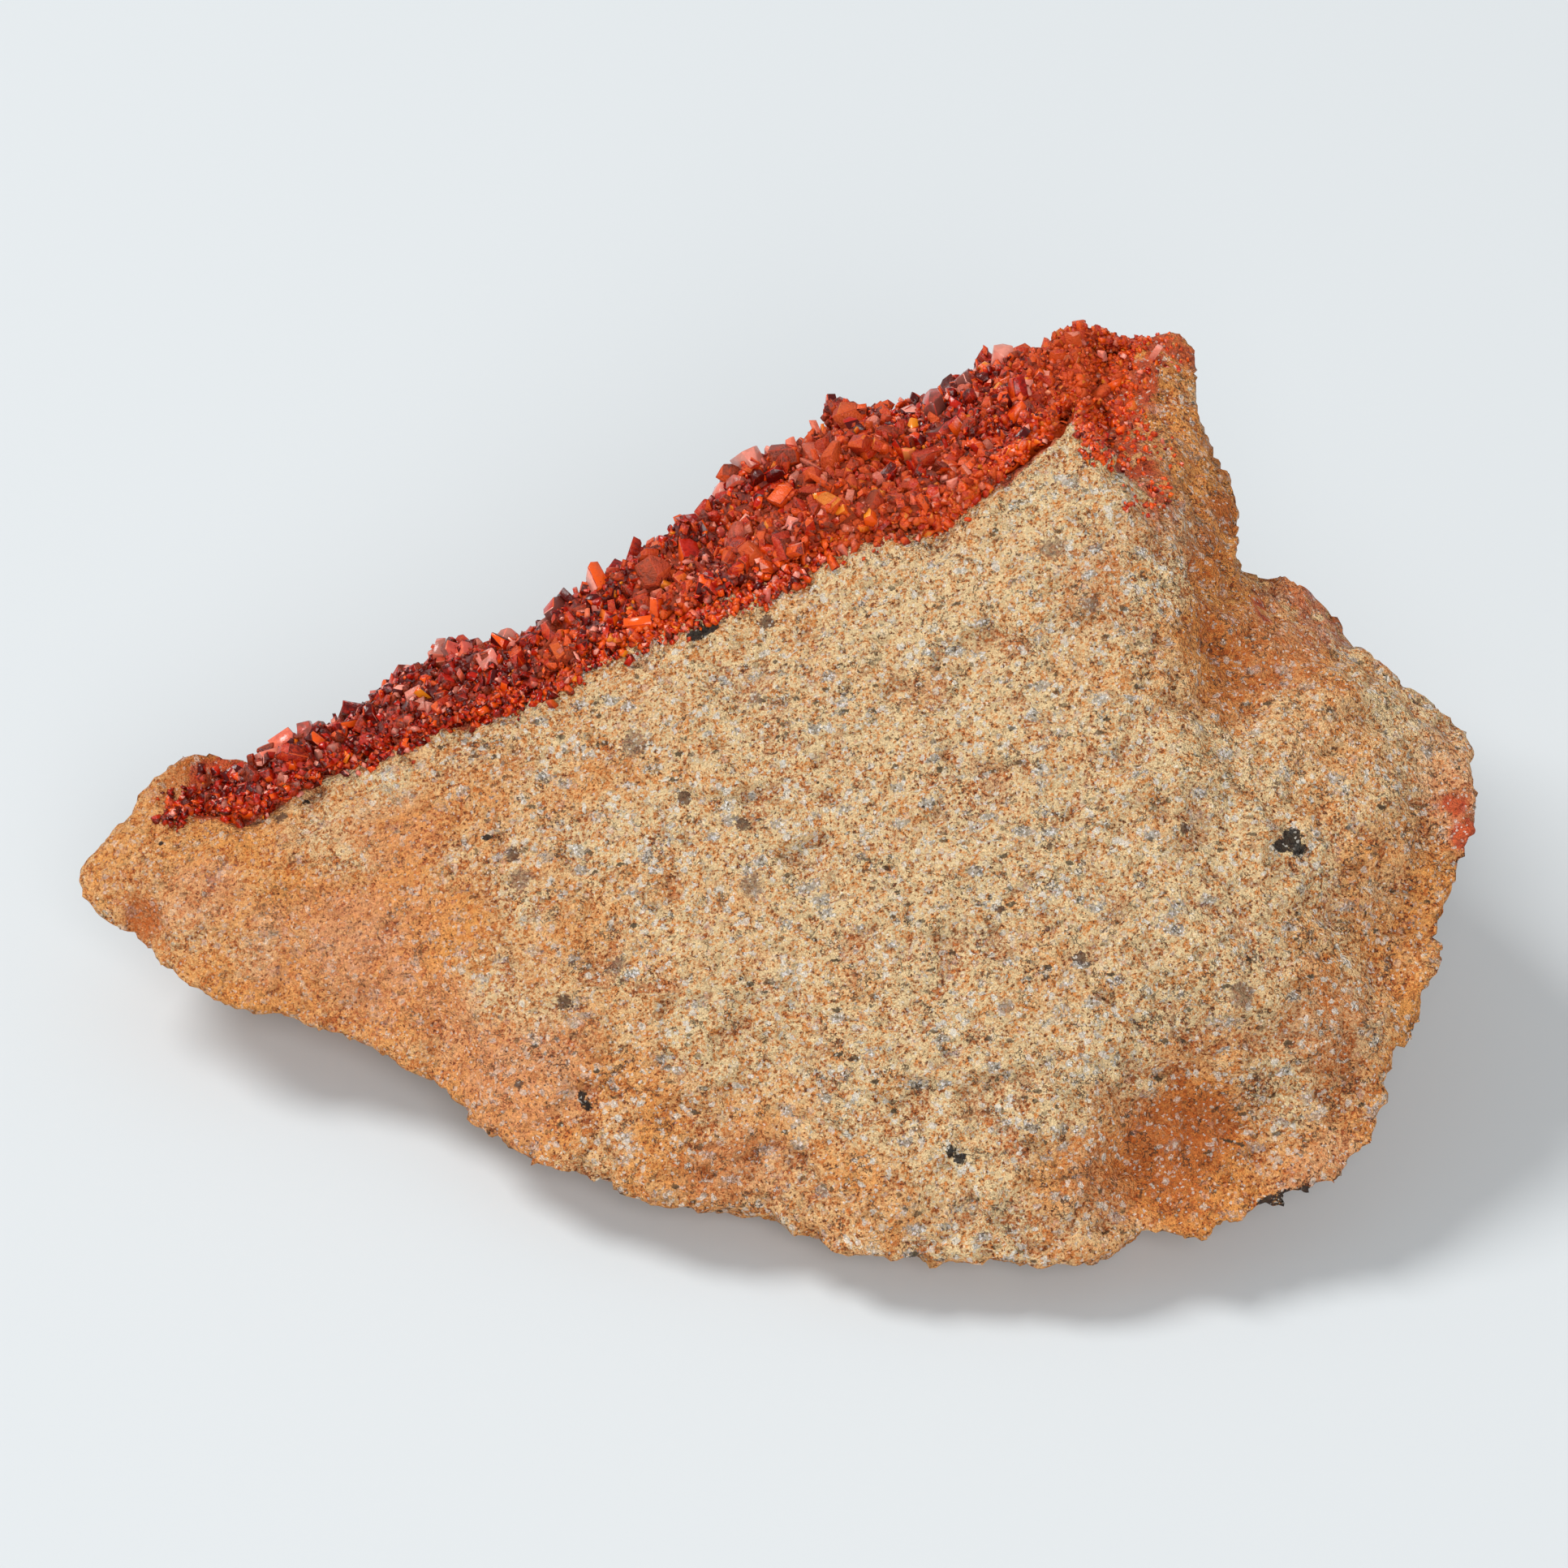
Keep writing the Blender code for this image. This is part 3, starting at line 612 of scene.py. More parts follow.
def merged_copy(node: str, name: str) -> bpy.types.Object:
    """Copy a CAD node into a new object, with the shared corners of its triangles merged."""
    shape = bmesh.new()
    shape.from_mesh(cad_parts[node].data)
    bmesh.ops.remove_doubles(shape, verts=shape.verts, dist=1e-7)
    mesh = meshed(shape, name)
    for layer in list(mesh.attributes):
        if not layer.is_required and not layer.is_internal and layer.name != "sharp_face":
            mesh.attributes.remove(layer)
    return shown(name, mesh)


def remeshed(piece: bpy.types.Object, voxel: float, smoothing: int) -> None:
    """Rebuild a piece's skin from even small faces and soften its creases.

    Args:
        piece: The object, whose mesh is replaced.
        voxel: Size of a face, in millimetres.
        smoothing: Rounds of smoothing.
    """
    skin = piece.modifiers.new("skin", "REMESH")
    skin.mode = "VOXEL"
    skin.voxel_size = voxel * MM
    skin.use_smooth_shade = True
    evaluated = piece.evaluated_get(bpy.context.evaluated_depsgraph_get())
    mesh = bpy.data.meshes.new_from_object(evaluated)
    piece.modifiers.clear()
    shape = bmesh.new()
    shape.from_mesh(mesh)
    for _ in range(smoothing):
        bmesh.ops.smooth_vert(shape, verts=shape.verts, factor=0.5, use_axis_x=True,
                              use_axis_y=True, use_axis_z=True)
    for face in shape.faces:
        face.smooth = True
    shape.to_mesh(mesh)
    shape.free()
    old = piece.data
    mesh.name = piece.name
    piece.data = mesh
    bpy.data.meshes.remove(old)


def corners(mesh: bpy.types.Mesh, what: str = "co") -> np.ndarray:
    """Give the places of a mesh's points, in metres, or their normals."""
    places = np.zeros(len(mesh.vertices) * 3, np.float32)
    mesh.vertices.foreach_get(what, places)
    return places.reshape(-1, 3)


def moved(mesh: bpy.types.Mesh, places: np.ndarray) -> None:
    """Put a mesh's points in new places that stay inside the CAD box."""
    low, high = CAD_BOX
    held = np.clip(places, np.array(low) + 1e-6, np.array(high) - 1e-6)
    mesh.vertices.foreach_set("co", held.astype(np.float32).ravel())
    mesh.update()


def noted(mesh: bpy.types.Mesh, name: str, *channels: np.ndarray, domain: str = "POINT") -> None:
    """Store up to three numbers at each point, or each face, of a mesh as an attribute."""
    values = np.zeros((len(channels[0]), 3), np.float32)
    for column, channel in enumerate(channels):
        values[:, column] = channel
    layer = mesh.attributes.new(name, "FLOAT_VECTOR", domain)
    layer.data.foreach_set("vector", values.ravel())


def tilted_facets(point: Vector, size: float, steepness: float) -> float:
    """Give the height of a surface broken into flat facets, which lean up to steepness, as a slope."""
    scaled = point / size
    _, centres = noise.voronoi(scaled, distance_metric="DISTANCE", exponent=2.5)
    lean = noise.cell_vector(centres[0] * 7.31 + Vector((3.7, 1.9, 5.3)))
    tilt = (lean - Vector((0.5, 0.5, 0.5))) * 2.0
    return tilt.dot(scaled - centres[0]) * size * steepness


@dataclass
class RockBlock:
    """The loose block of weathered rock, with its broken faces."""

    sight: Sight
    node: str = "matrix"
    voxel: float = 0.4
    smoothing: int = 5
    big_facet: float = 4.2
    small_facet: float = 1.5
    lump: float = 1.5
    grit: float = 0.75
    rest: float = 0.35
    calming: float = 0.62
    search: float = 4.0
    worn_flat: tuple[Patch, ...] = patches((300, 1110, 15, 1.0), (560, 1270, 9, 0.6))
    bulges: tuple[tuple[Pixel, float, tuple[float, float, float]], ...] = (
        ((1500, 628), 2.2, (0.5, 0.0, -0.3)), ((1526, 690), 2.4, (-1.4, 0.3, -0.7)),
        ((1535, 690), 5.0, (-3.0, 0.0, -1.8)), ((1509, 693), 1.1, (-0.9, 0.0, -0.2)),
        ((1826, 1003), 1.0, (-0.6, 0.0, 0.0)), ((1488, 712), 1.5, (-0.9, 0.4, -0.35)),
        ((1512, 735), 1.6, (-0.2, 0.0, -0.5)), ((275, 958), 3.3, (0.0, 0.7, 1.9)),
        ((215, 985), 2.4, (0.0, 0.4, 1.0)),
    )
    finish: RockFinish = field(default_factory=RockFinish)

    def build(self, crust: BVHTree) -> bpy.types.Object:
        """Make the block.

        Args:
            crust: The crust's surface, which the block stays under.

        Returns:
            The finished object.
        """
        piece = merged_copy(self.node, "rock_block")
        self.bare = mesh_tree(piece.data)
        remeshed(piece, self.voxel, self.smoothing)
        places = corners(piece.data) / MM
        normals = corners(piece.data, "normal")
        calm = np.maximum(self.spread(places, self.worn_flat), 0.55 * (normals[:, 1] > 0.3))
        coarse = 1.0 - self.calming * calm
        heights = np.array([self.relief(Vector(p)) for p in places])
        heights *= 0.35 + 0.65 * coarse
        far = self.search * MM
        reach = np.array([crust.find_nearest(Vector(p) * MM, far)[3] or far for p in places]) / MM
        under = eased(1.0 - (reach - 0.35) / 0.9) * past(above_brow(self.sight.pixels(places)), 6.0, 20.0)
        lift = heights * (1.0 - under) - 0.1 * under
        flat = eased((places[:, 2] - self.rest) / 1.2)
        pushed = places + normals * (lift * flat)[:, None]
        for pixel, radius, push in self.bulges:
            share = eased(1.3 - self.reach(places, pixel) / radius)
            pushed += share[:, None] * np.array(push)
        moved(piece.data, pushed * MM)
        washes = {wash: self.spread(places, wash.value) for wash in Wash}
        hidden = eased(normals[:, 1] * 1.6 + 0.1) * eased(places[:, 1] / 8.0)
        warm = np.maximum(washes[Wash.WARM], 0.7 * np.maximum(hidden, eased(-normals[:, 2] * 3.0)))
        noted(piece.data, "wash", warm, washes[Wash.PINK], washes[Wash.DEEP])
        noted(piece.data, "mark", washes[Wash.PALE], washes[Wash.RED], eased(1.0 - (reach - 0.45) / 0.75))
        patchy, *clouds = (self.cloud(places, size, number) for number, size in
                           enumerate((6.0, 2.6, 3.4, 1.4), 1))
        noted(piece.data, "relief", np.clip(0.5 + heights * 1.6, 0.0, 1.0), coarse, patchy)
        noted(piece.data, "cloud", *clouds)
        noted(piece.data, "spots", *(self.grains(places, kind) for kind in Grain))
        piece.data.materials.clear()
        piece.data.materials.append(self.finish.material())
        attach(piece, "root")
        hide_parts(self.node)
        return piece

    def relief(self, point: Vector) -> float:
        """Give the height of the broken surface at a point, both in millimetres."""
        height = tilted_facets(point, self.big_facet, 0.1)
        height += tilted_facets(point + Vector((11.0, 5.0, 2.0)), self.small_facet, 0.28)
        height += 0.09 * noise.fractal(point / self.lump, 0.9, 2.1, 3)
        height += 0.13 * noise.noise(point / self.grit)
        return height

    def spread(self, places: np.ndarray, soft: Iterable[Patch]) -> np.ndarray:
        """Give how strongly soft patches cover each point."""
        wobble = murmur(places, 4.0)
        share = np.zeros(len(places))
        for patch in soft:
            away = self.reach(places, patch.pixel) / patch.radius
            share = np.maximum(share, patch.strength * eased((1.25 + wobble * 0.6 - away) / 0.8))
        return share

    def cloud(self, places: np.ndarray, size: float, number: int) -> np.ndarray:
        """Give cloudy noise from 0 to 1 at each point, with features about size millimetres."""
        shift = Vector((17.0, 31.0, 5.0)) * number
        return np.array([0.5 + 0.55 * noise.fractal(Vector(p) / size + shift, 0.8, 2.1, 3) for p in places])

    def reach(self, places: np.ndarray, pixel: Pixel) -> np.ndarray:
        """Give each point's distance to the point of the bare block that shows at a pixel."""
        return np.linalg.norm(places - np.array(self.sight.land(self.bare, pixel)[0]) / MM, axis=1)

    def grains(self, places: np.ndarray, kind: Grain) -> np.ndarray:
        """Give each point's distance to the nearest grain of a kind, as a share of its radius."""
        share = np.full(len(places), 4.0)
        for spot in kind.value:
            share = np.minimum(share, self.reach(places, spot.pixel) / spot.radius)
        return share


@dataclass(frozen=True)
class Seat:
    """A place where a crystal grows."""

    point: Vector
    normal: Vector


class Habit(Enum):
    """Shapes that the crystals take: sides, length to width, flatness and slanted cuts."""

    STUB = (4, 1.4, 0.85, 2)
    BLOCK = (4, 0.95, 0.9, 2)
    WEDGE = (6, 1.1, 0.7, 2)
    BLADE = (4, 1.7, 0.5, 1)
    KERNEL = (5, 0.9, 0.85, 3)
    PRISM = (4, 3.4, 0.8, 1)


# A crystal's seat, its size, its habit and its tone.
Sprout = tuple[Seat, float, Habit, np.ndarray]


@dataclass(frozen=True)
class Single:
    """A crystal that stands out, by its pixel, its size in millimetres, its habit and its tone."""

    pixel: Pixel
    size: float
    habit: Habit
    tone: tuple[float, float, float]


# Each tone is the step to amber, the dust and the pink; the pink is partly a painted glint.
SINGLES: tuple[Single, ...] = tuple(Single(row[:2], *row[2:4], row[4:]) for row in (
    (925, 566, 2.2, Habit.BLOCK, 0.25, 0.0, 0.7), (900, 585, 1.6, Habit.STUB, 0.3, 0.0, 0.7),
    (352, 893, 1.7, Habit.BLOCK, 0.2, 0.0, 0.35), (378, 902, 1.7, Habit.BLOCK, 0.15, 0.0, 0.2),
    (330, 905, 1.5, Habit.KERNEL, 0.2, 0.0, 0.5), (425, 900, 1.6, Habit.KERNEL, 0.1, 0.0, 0.0),
    (555, 806, 1.9, Habit.BLOCK, 0.2, 0.0, 0.2), (600, 812, 1.8, Habit.BLOCK, 0.2, 0.0, 0.6),
    (1150, 505, 2.6, Habit.WEDGE, 0.12, 0.0, 0.15), (1120, 512, 2.0, Habit.KERNEL, 0.2, 0.1, 0),
    (1190, 470, 1.6, Habit.BLOCK, 0.1, 0.0, 0.2), (1235, 440, 1.7, Habit.WEDGE, 0.2, 0.0, 0.8),
    (798, 712, 2.7, Habit.KERNEL, 0.5, 0.9, 0.1), (1055, 522, 2.4, Habit.WEDGE, 0.65, 0.9, 0.0),
    (965, 545, 2.0, Habit.KERNEL, 0.45, 0.6, 0.0), (1020, 672, 1.8, Habit.STUB, 0.4, 0.2, 0.8),
    (1038, 630, 1.1, Habit.KERNEL, 1.4, 0.3, 0.0), (1172, 575, 1.3, Habit.KERNEL, 0.8, 0.6, 0),
    (1160, 535, 1.8, Habit.BLOCK, 0.2, 0.0, 0.1), (690, 745, 1.9, Habit.BLOCK, 0.15, 0.1, 0.1),
    (760, 700, 1.6, Habit.BLOCK, 0.12, 0.0, 0.0), (630, 775, 1.7, Habit.WEDGE, 0.2, 0.0, 0.5),
    (1383, 438, 0.55, Habit.PRISM, 0.5, 0.0, 1.0), (1420, 440, 0.7, Habit.PRISM, 0.6, 0.2, 0.9),
    (480, 850, 1.5, Habit.KERNEL, 0.3, 0.1, 0.2), (880, 600, 1.5, Habit.BLOCK, 0.2, 0.1, 0.0),
))


@dataclass
class CrystalShapes:
    """A stock of single crystals of about unit size, standing on the origin along Z."""

    seed: int = 11
    variants: int = 7
    edge: float = 0.022

    def stock(self, bevelled: bool) -> dict[Habit, list[bpy.types.Mesh]]:
        """Make several variants of each habit."""
        draw = random.Random(self.seed)
        return {habit: [self.single(habit, draw, bevelled) for _ in range(self.variants)]
                for habit in Habit}

    def single(self, habit: Habit, draw: random.Random, bevelled: bool) -> bpy.types.Mesh:
        """Make one crystal of a habit, whose edges may be taken off."""
        sides, length, flatness, cuts = habit.value
        shape = bmesh.new()
        bmesh.ops.create_cone(shape, cap_ends=True, cap_tris=False, segments=sides, radius1=0.52,
                              radius2=draw.uniform(0.4, 0.52), depth=length)
        shear = draw.uniform(-0.15, 0.15)
        leaning = Matrix(((1.0, shear, draw.uniform(-0.12, 0.12), 0.0), (0.0, flatness, shear, 0.0),
                          (0.0, 0.0, 1.0, 0.0), (0.0, 0.0, 0.0, 1.0)))
        bmesh.ops.transform(shape, matrix=leaning, verts=shape.verts)
        for number in range(cuts):
            angle = draw.uniform(0.0, 2.0 * math.pi)
            up = draw.uniform(0.5, 1.4) if number < cuts - 1 or cuts < 3 else draw.uniform(-0.2, 0.6)
            normal = Vector((math.cos(angle), math.sin(angle), up)).normalized()
            reach = 0.5 * length * normal.z + 0.5 * math.hypot(normal.x, normal.y)
            self.cut(shape, normal * (draw.uniform(0.45, 0.72) * reach), normal)
        if bevelled:
            bmesh.ops.bevel(shape, geom=shape.edges[:], offset=self.edge, offset_type="OFFSET",
                            segments=1, profile=0.5, affect="EDGES", material=-1, clamp_overlap=True)
        bmesh.ops.recalc_face_normals(shape, faces=shape.faces)
        return meshed(shape, "crystal_shape")

    @staticmethod
    def cut(shape: bmesh.types.BMesh, point: Vector, normal: Vector) -> None:
        """Cut a flat face onto a crystal and close it."""
        everything = shape.verts[:] + shape.edges[:] + shape.faces[:]
        bmesh.ops.bisect_plane(shape, geom=everything, dist=1e-5, plane_co=point, plane_no=normal,
                               clear_outer=True)
        rim = [edge for edge in shape.edges if edge.is_boundary]
        if rim:
            bmesh.ops.holes_fill(shape, edges=rim, sides=0)


class Cluster:
    """Many copies of small shapes, joined as one mesh."""

    hue_spread: float = 0.3
    glint_share: float = 0.03
    seed: int = 7

    def __init__(self) -> None:
        """Start with nothing."""
        self.places: list[np.ndarray] = []
        self.loops: list[np.ndarray] = []
        self.sides: list[np.ndarray] = []
        self.tones: list[np.ndarray] = []
        self.count = 0
        self.known: dict[str, tuple[np.ndarray, np.ndarray, np.ndarray]] = {}
        self.draw = np.random.default_rng(self.seed)

    def add(self, shape: bpy.types.Mesh, matrix: Matrix, tone: np.ndarray) -> None:
        """Add one copy, whose hue varies from face to face and some of whose faces are set full pink as
        painted glints.
        """
        if shape.name not in self.known:
            loops = np.array([loop.vertex_index for loop in shape.loops], np.int32)
            sides = np.array([face.loop_total for face in shape.polygons], np.int32)
            self.known[shape.name] = (corners(shape), loops, sides)
        places, loops, sides = self.known[shape.name]
        turn = np.array(matrix.to_3x3())
        self.places.append(places @ turn.T + np.array(matrix.translation))
        self.loops.append(loops + self.count)
        self.sides.append(sides)
        tones = np.tile(tone, (len(sides), 1))
        tones[:, 0] += self.draw.normal(0.0, self.hue_spread, len(sides))
        # Painted glints: a few faces get the full pink.
        tones[:, 2] = np.maximum(tones[:, 2], self.draw.random(len(sides)) < self.glint_share)
        self.tones.append(tones)
        self.count += len(places)

    def join(self, name: str) -> bpy.types.Object:
        """Join the copies into one object."""
        places, loops, sides = (np.concatenate(part) for part in (self.places, self.loops, self.sides))
        mesh = bpy.data.meshes.new(name)
        mesh.vertices.add(len(places))
        mesh.loops.add(len(loops))
        mesh.polygons.add(len(sides))
        mesh.loops.foreach_set("vertex_index", loops)
        starts = np.concatenate(([0], np.cumsum(sides)[:-1]))
        mesh.polygons.foreach_set("loop_start", starts.astype(np.int32))
        moved(mesh, places)
        mesh.update(calc_edges=True)
        noted(mesh, "tone", *np.concatenate(self.tones).T, domain="FACE")
        mesh.validate()
        return shown(name, mesh)


@dataclass(frozen=True)
class Growth:
    """One generation of crystals over the crust."""

    name: str
    smallest: float
    largest: float
    spacing: float
    sunk: float
    lean: float
    bevelled: bool
    tries: int
    near_brow: float


@dataclass
class CrystalCrust:
    """The crust of crystals that covers the joint face of the block."""

    sight: Sight
    node: str = "crocoite_crust"
    voxel: float = 0.34
    swell: float = 0.14
    bed_grit: float = 0.26
    smoothing: int = 7
    edge_count: int = 2600
    amber: float = 1.4
    seed: int = 23
    upward: float = 0.25
    uneven: float = 0.22
    showing: float = 0.28
    stray_sunk: float = 0.18
    habit_weights: tuple[float, ...] = (3, 5, 4, 1, 3, 0)
    edge_span: tuple[float, float] = (205.0, 1320.0)
    # Pixels across: the last bed crystal named singly, the last large one, the last on the front.
    bed_until: float = 1370.0
    large_until: float = 1330.0
    front_until: float = 1416.0
    # Ramps over the picture, each from a pixel across and over a width.
    thick_left: tuple[float, float] = (640.0, -220.0)
    left_end: tuple[float, float] = (320.0, -60.0)
    right_end: tuple[float, float] = (1325.0, 45.0)
    held_back: tuple[float, float] = (1330.0, 30.0)
    finer: tuple[float, float] = (1200.0, 160.0)
    warmer: tuple[float, float] = (1150.0, 250.0)
    redder: tuple[float, float] = (800.0, -300.0)
    dusty: tuple[tuple[Pixel, float], ...] = (
        ((1050, 600), 110), ((1010, 560), 60), ((930, 660), 60), ((820, 720), 50), ((1180, 600), 60),
        ((1060, 640), 80), ((690, 810), 35), ((1320, 445), 90), ((1110, 640), 60),
    )
    growths: tuple[Growth, ...] = (
        Growth("crystals_large", 1.05, 1.9, 0.48, 0.26, 1.2, True, 1500, 32.0),
        Growth("crystals_medium", 0.6, 1.15, 0.40, 0.20, 1.3, True, 7000, 14.0),
        Growth("crystals_small", 0.28, 0.62, 0.42, 0.12, 1.3, False, 15000, -10.0),
        Growth("crystals_edge", 0.2, 0.75, 0.42, 0.12, 1.3, False, 0, -10.0),
    )
    strays: tuple[tuple[Pixel, float, int, float], ...] = (
        ((1380, 540), 42, 110, 0.5), ((1358, 485), 38, 170, 0.5), ((1412, 610), 30, 40, 0.45),
        ((1440, 430), 30, 18, 0.4), ((212, 996), 24, 16, 0.8), ((262, 974), 28, 34, 0.95),
        ((305, 968), 20, 20, 1.0), ((1362, 440), 36, 190, 0.5), ((1395, 405), 24, 90, 0.45),
        ((1400, 455), 26, 40, 0.45), ((1440, 560), 22, 12, 0.35), ((1372, 520), 30, 12, 1.0),
        ((1350, 470), 30, 14, 1.1), ((1344, 522), 20, 170, 0.6), ((1352, 556), 20, 60, 0.5),
    )

    def build(self, block: BVHTree, rock: BVHTree) -> list[bpy.types.Object]:
        """Make the bed and every generation of crystals.

        Args:
            block: The bare block's surface.
            rock: The finished rock's surface.

        Returns:
            The finished objects.
        """
        bed = self.bed(block)
        seats = self.seats(bed.data, rock)
        pieces = [bed]
        pieces += [self.grow(growth, seats, rock, number) for number, growth in enumerate(self.growths)]
        for piece in pieces:
            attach(piece, "root")
            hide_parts(self.node)
        return pieces

    def brow_at(self, across: float) -> float:
        """Give the height in the picture of the crust's lower edge at a pixel across."""
        return float(np.interp(across, *np.array(BROW).T))

    def dust_at(self, pixel: Pixel) -> float:
        """Give how dusty the crust is at a pixel of the picture."""
        return max(float(eased(1.2 - math.dist(pixel, middle) / reach)) for middle, reach in self.dusty)

    def bed(self, block: BVHTree) -> bpy.types.Object:
        """Make the fine layer that the crystals stand on, which sinks into the rock at its edges; where it
        stays dark red it is painted shade in the gaps between the crystals.
        """
        piece = merged_copy(self.node, "crust_bed")
        remeshed(piece, self.voxel, self.smoothing)
        places = corners(piece.data) / MM
        normals = corners(piece.data, "normal")
        lift = self.swell + self.bed_grit * murmur(places, 0.75)
        lift += np.array([tilted_facets(Vector(p), 0.8, 0.55) for p in places])
        lift = np.where(normals[:, 2] > 0.2, lift - 0.15, lift)
        pixels = self.sight.pixels(places)
        across, rise = pixels[:, 0], above_brow(pixels)
        broken = murmur(places, 1.6)
        lift += 0.45 * past(across, *self.thick_left) * (normals[:, 2] > 0.1)
        sunk = 0.5 * eased(1.0 - (rise - 2.0) / 14.0)
        sunk = np.maximum(sunk, (1.7 + 0.9 * broken) * past(across, *self.right_end))
        sunk = np.maximum(sunk, (0.6 + 0.6 * broken) * past(across, *self.left_end))
        down = np.array([block.find_nearest(Vector(p) * MM)[1] for p in places])
        away = places - np.array(self.sight.eye()) / MM
        away /= np.linalg.norm(away, axis=1)[:, None]
        hidden = np.maximum(eased((3.0 - rise) / 10.0), past(across, *self.held_back))
        hidden = 2.4 * hidden * ((normals * away).sum(axis=1) < 0.05)
        shift = normals * lift[:, None] - down * sunk[:, None] + away * hidden[:, None]
        moved(piece.data, (places + shift) * MM)
        fresh = murmur(places, 1.8, (9.0, 4.0, 1.0))
        right = past(across, *self.warmer)
        # Painted shade between the crystals: the bed's hue stays low, near blood red, except towards the
        # brow and the right end.
        hue = np.clip(0.04 + 0.2 * fresh + 0.5 * eased(1.2 - rise / 26.0) + 0.4 * right, 0.0, 1.0)
        dust = np.array([self.dust_at(tuple(p)) for p in pixels]) * 0.7 + 0.25 + 0.3 * fresh
        noted(piece.data, "tone", hue, np.clip(dust, 0.0, 1.0), np.zeros(len(places)))
        piece.data.materials.clear()
        piece.data.materials.append(CrocoiteFinish("crocoite_bed", dulled=0.75, gloss=0.4).material())
        self.layer = mesh_tree(piece.data)
        return piece

    def seats(self, bed: bpy.types.Mesh, rock: BVHTree) -> list[Seat]:
        """List the small faces of the bed that look outwards and lie clear of the rock."""
        found = []
        for face in bed.polygons:
            centre, normal = face.center.copy(), face.normal.copy()
            if normal.z < (0.05 if normal.y > -0.3 else -0.35):
                continue
            near, facing, _, _ = rock.find_nearest(centre)
            if (centre - near).dot(facing) > -0.0002:
                found.append(Seat(centre, normal))
        return found

    def placed(self, growth: Growth, seats: list[Seat], rock: BVHTree, number: int,
               draw: random.Random) -> Iterable[Sprout]:
        """Choose where the crystals of one generation stand.

        Args:
            growth: The generation.
            seats: The bed's outer faces.
            rock: The finished rock's surface.
            number: Number of the generation.
            draw: Random source.

        Yields:
            Each crystal's seat, size, habit and tone.
        """
        if number == 0:
            for single in SINGLES:
                surface = self.layer if single.pixel[0] < self.bed_until else rock
                yield (Seat(*self.sight.land(surface, single.pixel)), single.size, single.habit,
                       np.array(single.tone))
        grid: dict[tuple[int, ...], list[tuple[Vector, float]]] = {}
        cell = growth.largest * MM
        for _ in range(growth.tries):
            seat = draw.choice(seats)
            pixel = self.sight.pixel(seat.point)
            rise = self.brow_at(pixel[0]) - pixel[1]
            size = draw.uniform(growth.smallest, growth.largest) if draw.random() < 0.6 else growth.smallest
            size *= 1.0 - 0.4 * float(past(pixel[0], *self.finer))
            if rise < growth.near_brow or (number == 0 and pixel[0] > self.large_until):
                continue
            if pixel[0] > self.front_until and seat.normal.y < 0.2:
                continue
            here = tuple(int(math.floor(c / cell)) for c in seat.point)
            near = (other for i in (-1, 0, 1) for j in (-1, 0, 1) for k in (-1, 0, 1)
                    for other in grid.get((here[0] + i, here[1] + j, here[2] + k), ()))
            if any((seat.point - other).length < growth.spacing * (size + s) * MM for other, s in near):
                continue
            grid.setdefault(here, []).append((seat.point, size))
            habit = draw.choices(list(Habit), self.habit_weights)[0]
            yield seat, size, habit, self.tone(draw, pixel, rise)
        if number == len(self.growths) - 1:
            yield from self.edging(rock, draw)
            yield from self.scattered(rock, draw)

    def front(self, rock: BVHTree, pixel: Pixel) -> tuple[Vector, Vector]:
        """Find the point that shows at a pixel, on the bed or the rock, and the normal there."""
        eye, line = self.sight.eye(), self.sight.line(pixel)
        hits = [tree.ray_cast(eye, line) for tree in (rock, self.layer)]
        hits = [hit for hit in hits if hit[0] is not None]
        return min(hits, key=lambda hit: hit[3])[:2] if hits else self.sight.land(rock, pixel)

    def scattered(self, rock: BVHTree, draw: random.Random) -> Iterable[Sprout]:
        """Scatter the stray crystals, on the bed or on the rock, whichever shows."""
        for middle, reach, count, largest in self.strays:
            for _ in range(count):
                angle, away = draw.uniform(0, 2 * math.pi), reach * math.sqrt(draw.random())
                pixel = (middle[0] + away * math.cos(angle), middle[1] + away * math.sin(angle))
                point, normal = self.front(rock, pixel)
                habit = draw.choice((Habit.BLOCK, Habit.STUB, Habit.WEDGE))
                size = draw.uniform(0.2, largest)
                seat = Seat(point - normal * size * self.stray_sunk * MM, normal)
                yield seat, size, habit, self.tone(draw, pixel, 20.0)

    def edging(self, rock: BVHTree, draw: random.Random) -> Iterable[Sprout]:
        """Line the crust's lower edge with fine crystals, on the bed or on the rock, whichever shows."""
        for _ in range(self.edge_count):
            across = draw.uniform(*self.edge_span)
            pixel = (across, self.brow_at(across) - 3.0 + draw.gauss(0.0, 9.0))
            seat = Seat(*self.front(rock, pixel))
            tone = self.tone(draw, pixel, 0.0)
            size = 0.2 + 0.55 * draw.random() ** 2
            yield seat, size, draw.choice((Habit.BLOCK, Habit.WEDGE, Habit.STUB)), tone

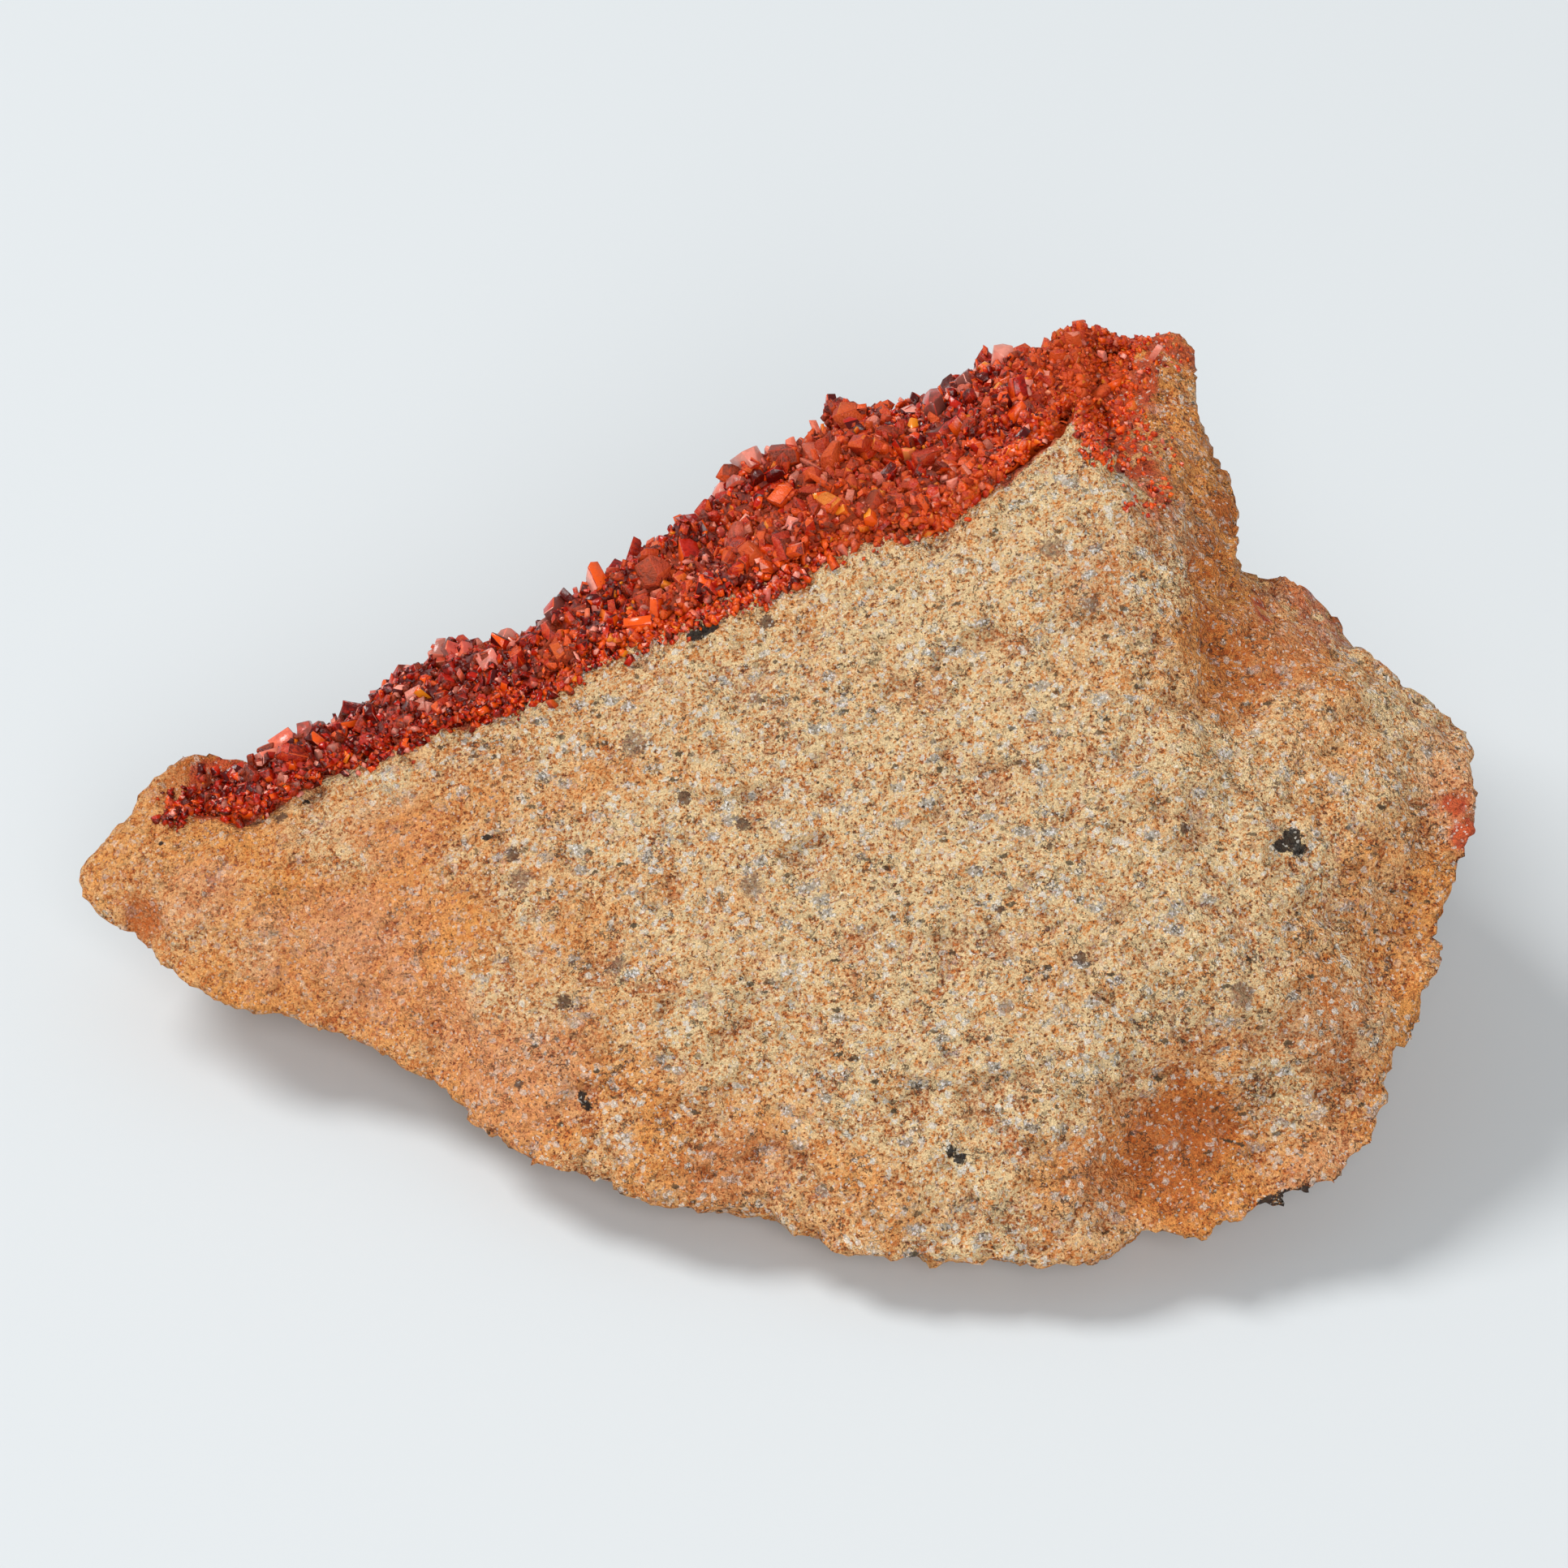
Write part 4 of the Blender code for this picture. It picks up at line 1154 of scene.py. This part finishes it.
    def grow(self, growth: Growth, seats: list[Seat], rock: BVHTree, number: int) -> bpy.types.Object:
        """Grow one generation of crystals.

        Args:
            growth: The generation.
            seats: The bed's outer faces.
            rock: The finished rock's surface.
            number: Number of the generation, which seeds it.

        Returns:
            One object with all its crystals.
        """
        draw = random.Random(self.seed + number)
        shapes = CrystalShapes(seed=self.seed + 10 * number).stock(growth.bevelled)
        body = Cluster()
        for seat, size, habit, tone in self.placed(growth, seats, rock, number, draw):
            shape = draw.choice(shapes[habit])
            lean = Vector((draw.gauss(0, 1), draw.gauss(0, 1), draw.gauss(0, 1))) * growth.lean * 0.5
            axis = (seat.normal + lean + Vector((0, 0, self.upward))).normalized()
            turn = axis.to_track_quat("Z", "Y").to_matrix().to_4x4() @ Matrix.Rotation(
                draw.uniform(0, 2 * math.pi), 4, "Z")
            sunk = growth.sunk + draw.uniform(-self.uneven, self.uneven)
            lifted = seat.point + axis * size * MM * (self.showing * habit.value[1] - sunk)
            body.add(shape, Matrix.Translation(lifted) @ turn @ Matrix.Scale(size * MM, 4), tone)
        piece = body.join(growth.name)
        piece.data.materials.append(CrocoiteFinish(f"crocoite_{growth.name}").material())
        for stock in shapes.values():
            for shape in stock:
                bpy.data.meshes.remove(shape)
        return piece

    def tone(self, draw: random.Random, pixel: Pixel, rise: float) -> np.ndarray:
        """Pick the colour of one crystal.

        Args:
            draw: Random source.
            pixel: Where the crystal shows.
            rise: How far it lies above the crust's lower edge in the picture.

        Returns:
            The step from blood red to amber, the dust and the pink, which is partly pinkish crystal and
            partly painted glint.
        """
        dust = self.dust_at(pixel)
        right = float(past(pixel[0], *self.warmer))
        left = float(past(pixel[0], *self.redder))
        warmth = 0.30 + 0.26 * dust + 0.3 * right - 0.3 * left + 0.2 * float(eased(1.0 - rise / 30.0))
        hue = draw.gauss(warmth, 0.2)
        dusting = max(0.0, draw.gauss(0.2 + 0.5 * dust, 0.25))
        # A few crystals turn pink: partly pinkish crystals, partly painted glints.
        pink = draw.uniform(0.2, 0.7) if draw.random() < 0.08 else 0.0
        hue = self.amber if draw.random() < 0.012 else min(max(hue, 0.0), 0.8)
        return np.array((hue, min(dusting, 1.0), pink))


@dataclass
class Studio:
    """The pale table, the soft lights and the camera."""

    sight: Sight
    table: Colour = seen(205, 210, 213)
    table_half: float = 1.5
    air: Colour = (0.96, 0.98, 1.0, 1.0)
    air_strength: float = 0.39

    def build(self) -> None:
        """Set up the table, the lights, the surroundings and the camera."""
        self.floor()
        self.light("key_light", (-1.15, 0.48, 1.54), 0.80, 29.0, (1.0, 0.99, 0.975))
        self.light("front_light", (0.20, -1.60, 1.15), 1.30, 27.0, (1.0, 0.99, 0.98))
        self.surroundings()
        self.camera()

    def floor(self) -> None:
        """Lay the table top."""
        shape = bmesh.new()
        bmesh.ops.create_grid(shape, x_segments=1, y_segments=1, size=self.table_half)
        mesh = meshed(shape, "table_top")
        bench = NodeBench("pale_table")
        mesh.materials.append(bench.finish(Base_Color=self.table, Roughness=0.9, Specular_IOR_Level=0.2))
        shown("table_top", mesh)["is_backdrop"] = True

    def light(self, name: str, place: tuple[float, float, float], size: float, power: float,
              tint: tuple[float, float, float]) -> None:
        """Hang one soft light that looks at the specimen."""
        lamp = bpy.data.lights.new(name, "AREA")
        lamp.shape = "DISK"
        lamp.size = size
        lamp.energy = power
        lamp.color = tint
        holder = shown(name, lamp)
        holder.location = place
        holder.rotation_euler = Vector(place).to_track_quat("Z", "Y").to_euler()

    def surroundings(self) -> None:
        """Fill the room with even pale light."""
        world = bpy.data.worlds.new("studio_room")
        world.use_nodes = True
        world.node_tree.nodes["Background"].inputs["Color"].default_value = self.air
        world.node_tree.nodes["Background"].inputs["Strength"].default_value = self.air_strength
        bpy.context.scene.world = world
        bpy.context.scene.view_settings.view_transform = "Standard"

    def camera(self) -> None:
        """Set the camera at the picture's angle."""
        lens = bpy.data.cameras.new("camera")
        lens.sensor_width = 36.0
        lens.lens = self.sight.focal / self.sight.side * lens.sensor_width
        lens.clip_start = 0.01
        holder = shown("camera", lens)
        holder.location = self.sight.eye()
        holder.rotation_euler = (math.radians(90.0 - self.sight.tilt), 0.0, 0.0)
        bpy.context.scene.camera = holder


CAD_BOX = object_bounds()


def main() -> None:
    """Build the specimen and the studio in order."""
    logging.basicConfig(level=logging.INFO, format="%(message)s")
    sight = Sight(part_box("matrix")[0])
    crust_surface = mesh_tree(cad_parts["crocoite_crust"].data)
    block_surface = mesh_tree(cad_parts["matrix"].data)
    pieces = [RockBlock(sight).build(crust_surface)]
    pieces += CrystalCrust(sight).build(block_surface, mesh_tree(pieces[0].data))
    for piece in pieces:
        piece.data.calc_loop_triangles()
        LOG.info("%s: %d triangles", piece.name, len(piece.data.loop_triangles))
    Studio(sight).build()


if __name__ == "__main__":
    main()
